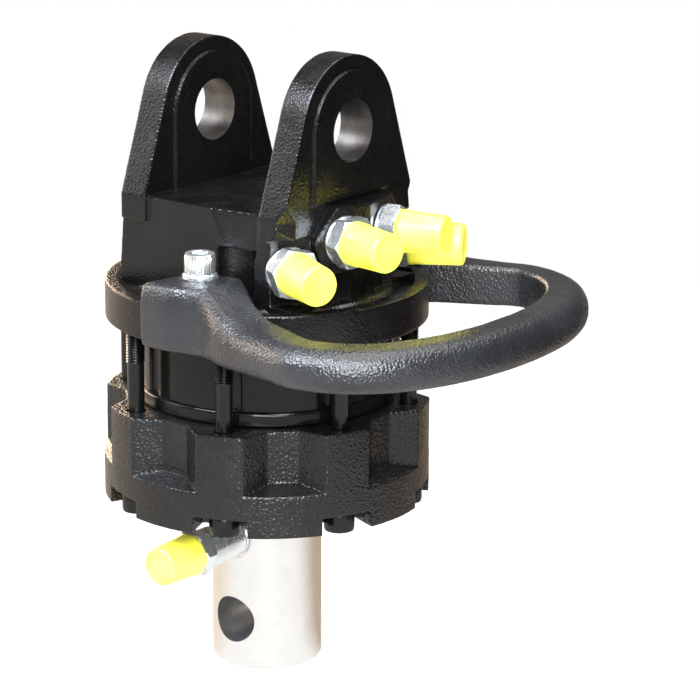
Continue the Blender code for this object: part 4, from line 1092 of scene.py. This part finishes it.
def make_shaft_fittings():
    """Long adaptor, seal and cap on each side of the shaft."""
    collar_end = SHAFT_COLLAR_LENGTH + BONDED_SEAL_THICKNESS + 2 * GAP
    steps = ((SHAFT_COLLAR_RADIUS, collar_end), (SHAFT_SHOULDER_RADIUS, collar_end + SHAFT_SHOULDER_LENGTH))
    for number, angle in enumerate((-pi / 2, pi / 2), 1):
        place = aim(heading(angle)[0] * shaft_flat + Vector((0, 0, shaft_port_z)), angle)
        hex_end = make_adaptor(f"shaft_adaptor_{number}", place, steps, SHAFT_HEX_FLATS, SHAFT_HEX_LENGTH,
                               "rotor", SHAFT_HEX_TURN)
        make_seal(f"shaft_adaptor_seal_{number}", place, SHAFT_COLLAR_RADIUS, "rotor")
        make_cap(f"shaft_cap_{number}", place, hex_end + GAP, CAP_LENGTH, "rotor")


def make_rotor():
    """Ground shaft, vane drum and swivel spigot in one piece."""
    edge = DRUM_EDGE
    levels = [(SHAFT_RADIUS - SHAFT_CHAMFER, 0), (SHAFT_RADIUS, SHAFT_CHAMFER), (SHAFT_RADIUS, motor_low),
              (drum_radius - edge, motor_low), (drum_radius, motor_low + edge),
              (drum_radius, motor_high - edge), (drum_radius - edge, motor_high), (SPIGOT_RADIUS, motor_high)]
    for z in reversed(groove_zs):
        levels += groove(SPIGOT_RADIUS, SPIGOT_RADIUS - SPIGOT_GROOVE_DEPTH, z, SPIGOT_GROOVE_WIDTH / 2)
    levels.append((SPIGOT_RADIUS, spigot_top))
    rotor = solid("rotor", turned(levels, ROUND), SHAFT_STEEL)
    slot_floor = drum_radius - VANE_SLOT_DEPTH
    half = VANE_SLOT_WIDTH / 2
    slot_low = (slot_floor, -half, motor_low - CHAMFER)
    slot_high = (drum_radius + VANE_SLOT_WIDTH, half, motor_high + CHAMFER)
    cut(rotor, merged([placed(box(slot_low, slot_high), spin(tau * i / VANE_COUNT))
                       for i in range(VANE_COUNT)]))
    cross_bore = rod(CROSS_BORE_RADIUS, -drum_radius, drum_radius, BORE)
    cut(rotor, placed(cross_bore, aim((0, 0, CROSS_BORE_HEIGHT), pi / 2)), finish=CROSS_BORE_STEEL)
    for side, groove_z in zip((-1, 1), groove_zs):
        angle = side * pi / 2
        outward, to_groove = aim((0, 0, shaft_port_z), angle), aim((0, 0, groove_z), angle)
        thread_end = shaft_flat - PORT_THREAD_DEPTH - CHAMFER
        cut(rotor, placed(rod(SHAFT_SPOTFACE_RADIUS, shaft_flat, drum_radius), outward),
            placed(rod(PORT_THREAD_RADIUS + GAP, thread_end, drum_radius), outward),
            placed(rod(PASSAGE_RADIUS, PASSAGE_OFFSET, shaft_flat, DRILLED), outward),
            placed(rod(PASSAGE_RADIUS, shaft_port_z, spigot_top + CHAMFER, DRILLED),
                   shift(0, side * PASSAGE_OFFSET)),
            placed(rod(PASSAGE_RADIUS * 0.6, PASSAGE_OFFSET, drum_radius, DRILLED), to_groove))
    finish_piece(rotor, "rotor", ["rotor_shaft"], 30)


def dress_inner_nodes():
    """Finishes of the CAD solids that stay."""
    kinds = ((TOOL_STEEL, ("vane", "passage_plug")), (BRONZE, ("lower_bush", "upper_bush", "thrust_ring")),
             (SLIDE, ("swivel_seal",)), (RUBBER, ("wiper_ring", "shaft_seal", "upper_oring", "lower_oring")))
    for name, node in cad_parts.items():
        for finish, starts in kinds:
            if name.startswith(starts):
                node.data.materials.clear()
                node.data.materials.append(finish)


# Studio

# Ways that set the painted room reflection's colours: pale in front, brown to each side
FRONT = (0.629, -0.777, 0.0)
LEFT = (-0.777, -0.629, 0.0)
FLOOR_HALF = 12.0
MIDDLE = (0, 0, 0.17)

# Name, place, size, power and colour of each light
LIGHTS = (
    ("window_left", (-1.7, -0.9, 1.0), (1.4, 1.4), 16, (1.0, 0.96, 0.92)),
    ("window_front", (1.15, -1.35, 0.95), (0.9, 1.4), 66, (0.90, 0.94, 1.0)),
    ("window_high", (1.0, -1.0, 1.8), (1.0, 1.0), 50, (0.90, 0.94, 1.0)),
    ("window_side", (-0.45, -1.25, 1.75), (1.0, 1.0), 80, (0.82, 0.89, 1.0)),
    ("top", (0.1, 0.4, 2.0), (1.6, 1.6), 40, (1, 1, 1)),
    ("warm_low", (-1.35, 0.35, 0.4), (1.4, 0.6), 26, (1.0, 0.76, 0.56)),
)


def vector_math(tree, operation, vector):
    node = new_node(tree, "VectorMath")
    node.operation = operation
    tree.links.new(vector, node.inputs[0])
    return node


def along(tree, vector, way):
    """Share of a direction that runs along a given way."""
    dot = vector_math(tree, 'DOT_PRODUCT', vector)
    dot.inputs[1].default_value = way
    return dot.outputs["Value"]


def mixed(tree, share, first, second):
    """Shader that goes from first to second by share."""
    mix = new_node(tree, "MixShader", fac=share)
    tree.links.new(first, mix.inputs[1])
    tree.links.new(second, mix.inputs[2])
    return mix.outputs["Shader"]


def painted_room_reflection(tree):
    """Painted reflection: an emission that glossy rays alone meet in the floor's place, a room painted pale
    in front and brown to each side.
    """
    direction = vector_math(tree, 'NORMALIZE', texture_space(tree)).outputs["Vector"]
    to_left = spread(tree, along(tree, direction, LEFT), -0.6, 0.6, 0, 1)
    # Painted light: near white in front and brown to each side, seen only in reflections
    front = new_node(tree, "Mix")
    front.data_type = 'RGBA'
    fill(tree, front, factor=spread(tree, along(tree, direction, FRONT), -0.3, 0.5, 0, 1),
         a=tinted(tree, to_left, (0.52, 0.41, 0.32), (0.88, 0.76, 0.63)), b=(1.0, 0.99, 0.97, 1))
    return new_node(tree, "Emission", color=front.outputs["Result"]).outputs["Emission"]


def make_floor():
    """Wide pale floor that keeps the object's shadow; it fades to plain white further out."""
    bm = bmesh.new()
    bm.faces.new([bm.verts.new((x * FLOOR_HALF, y * FLOOR_HALF, 0)) for x, y in CORNERS])
    paint, tree, paper = new_material("floor_paper", base_color=(0.92, 0.92, 0.92, 1), roughness=0.9,
                                      specular_ior_level=0.0)
    glow = new_node(tree, "Emission", color=(1, 1, 1, 1), strength=1.0)
    path = new_node(tree, "LightPath")
    distance = vector_math(tree, 'LENGTH', texture_space(tree)).outputs["Value"]
    share = new_node(tree, "Math")
    share.operation = 'MULTIPLY'
    tree.links.new(path.outputs["Is Camera Ray"], share.inputs[0])
    tree.links.new(spread(tree, distance, 0.15, 0.9, 0.5, 1.0), share.inputs[1])
    # Glossy rays meet the painted room reflection, an emission, in place of the lit paper
    paper_or_painted_reflection = mixed(tree, path.outputs["Is Glossy Ray"], paper.outputs["BSDF"], painted_room_reflection(tree))
    seen = mixed(tree, share.outputs[0], paper_or_painted_reflection, glow.outputs["Emission"])
    fill(tree, tree.nodes["Material Output"], surface=seen)
    floor = solid("floor", bm, paint)


def make_light(name, place, size, power, colour):
    """Area light that looks at the object's middle."""
    data = bpy.data.lights.new(name, 'AREA')
    data.shape = 'RECTANGLE'
    data.size, data.size_y = size
    data.energy = power
    data.color = colour
    lamp = in_scene(name, data)
    lamp.location = place
    lamp.rotation_euler = (Vector(MIDDLE) - Vector(place)).to_track_quat('-Z', 'Y').to_euler()


def make_card(name, azimuth, distance, width, low, high):
    """Upright black card, seen in reflections alone: it keeps the bright room out of the ears' faces."""
    out, left = heading(radians(azimuth))
    centre, across = out * distance, left * width / 2
    bm = bmesh.new()
    bm.faces.new([bm.verts.new(centre + across * side + Vector((0, 0, z)))
                  for side, z in ((-1, low), (1, low), (1, high), (-1, high))])
    cloth = new_material(name, base_color=(0.01, 0.01, 0.01, 1), roughness=1.0, specular_ior_level=0.0)[0]
    card = solid(name, bm, cloth)
    for way in ("camera", "diffuse", "transmission", "volume_scatter", "shadow"):
        setattr(card, f"visible_{way}", False)


def make_studio():
    """Dim warm room, white to the camera, with its lights and the card."""
    world = bpy.data.worlds.new("studio")
    bpy.context.scene.world = world
    world.use_nodes = True
    tree = world.node_tree
    room = fill(tree, tree.nodes["Background"], color=(1.0, 0.91, 0.82, 1), strength=0.20)
    white = new_node(tree, "Background", color=(1, 1, 1, 1))
    to_camera = new_node(tree, "LightPath").outputs["Is Camera Ray"]
    seen = mixed(tree, to_camera, room.outputs["Background"], white.outputs["Background"])
    fill(tree, tree.nodes["World Output"], surface=seen)
    for light in LIGHTS:
        make_light(*light)
    make_card("dark_card", azimuth=45, distance=0.5, width=0.9, low=0.0, high=1.0)


def make_camera():
    """Pinhole fitted to the photo: place, aim and lens."""
    azimuth, elevation = radians(37.11), radians(15.74)
    distance, offset, height = 1.46837, 0.04398, 0.17120
    roll, focal_pixels, image_pixels = radians(0.53), 2761.98, 700
    right = heading(azimuth)[0]
    back = Vector((cos(elevation) * sin(azimuth), -cos(elevation) * cos(azimuth),
                   sin(elevation)))
    data = bpy.data.cameras.new("camera")
    data.sensor_width = 36
    data.lens = data.sensor_width * focal_pixels / image_pixels
    camera = in_scene("camera", data)
    turn = Matrix((right, back.cross(right), back)).transposed() @ Matrix.Rotation(roll, 3, 'Z')
    place = right * offset + Vector((0, 0, height)) + back * distance
    camera.matrix_world = Matrix.Translation(place) @ turn.to_4x4()
    bpy.context.scene.camera = camera


make_camera()
make_bracket()
make_lower_cap()
make_stator()
make_guard()
make_clamp_screws()
make_guard_screws()
make_rotor()
make_port_fittings()
make_shaft_fittings()
dress_inner_nodes()
make_floor()
make_studio()
bpy.context.scene.view_settings.view_transform = 'Standard'
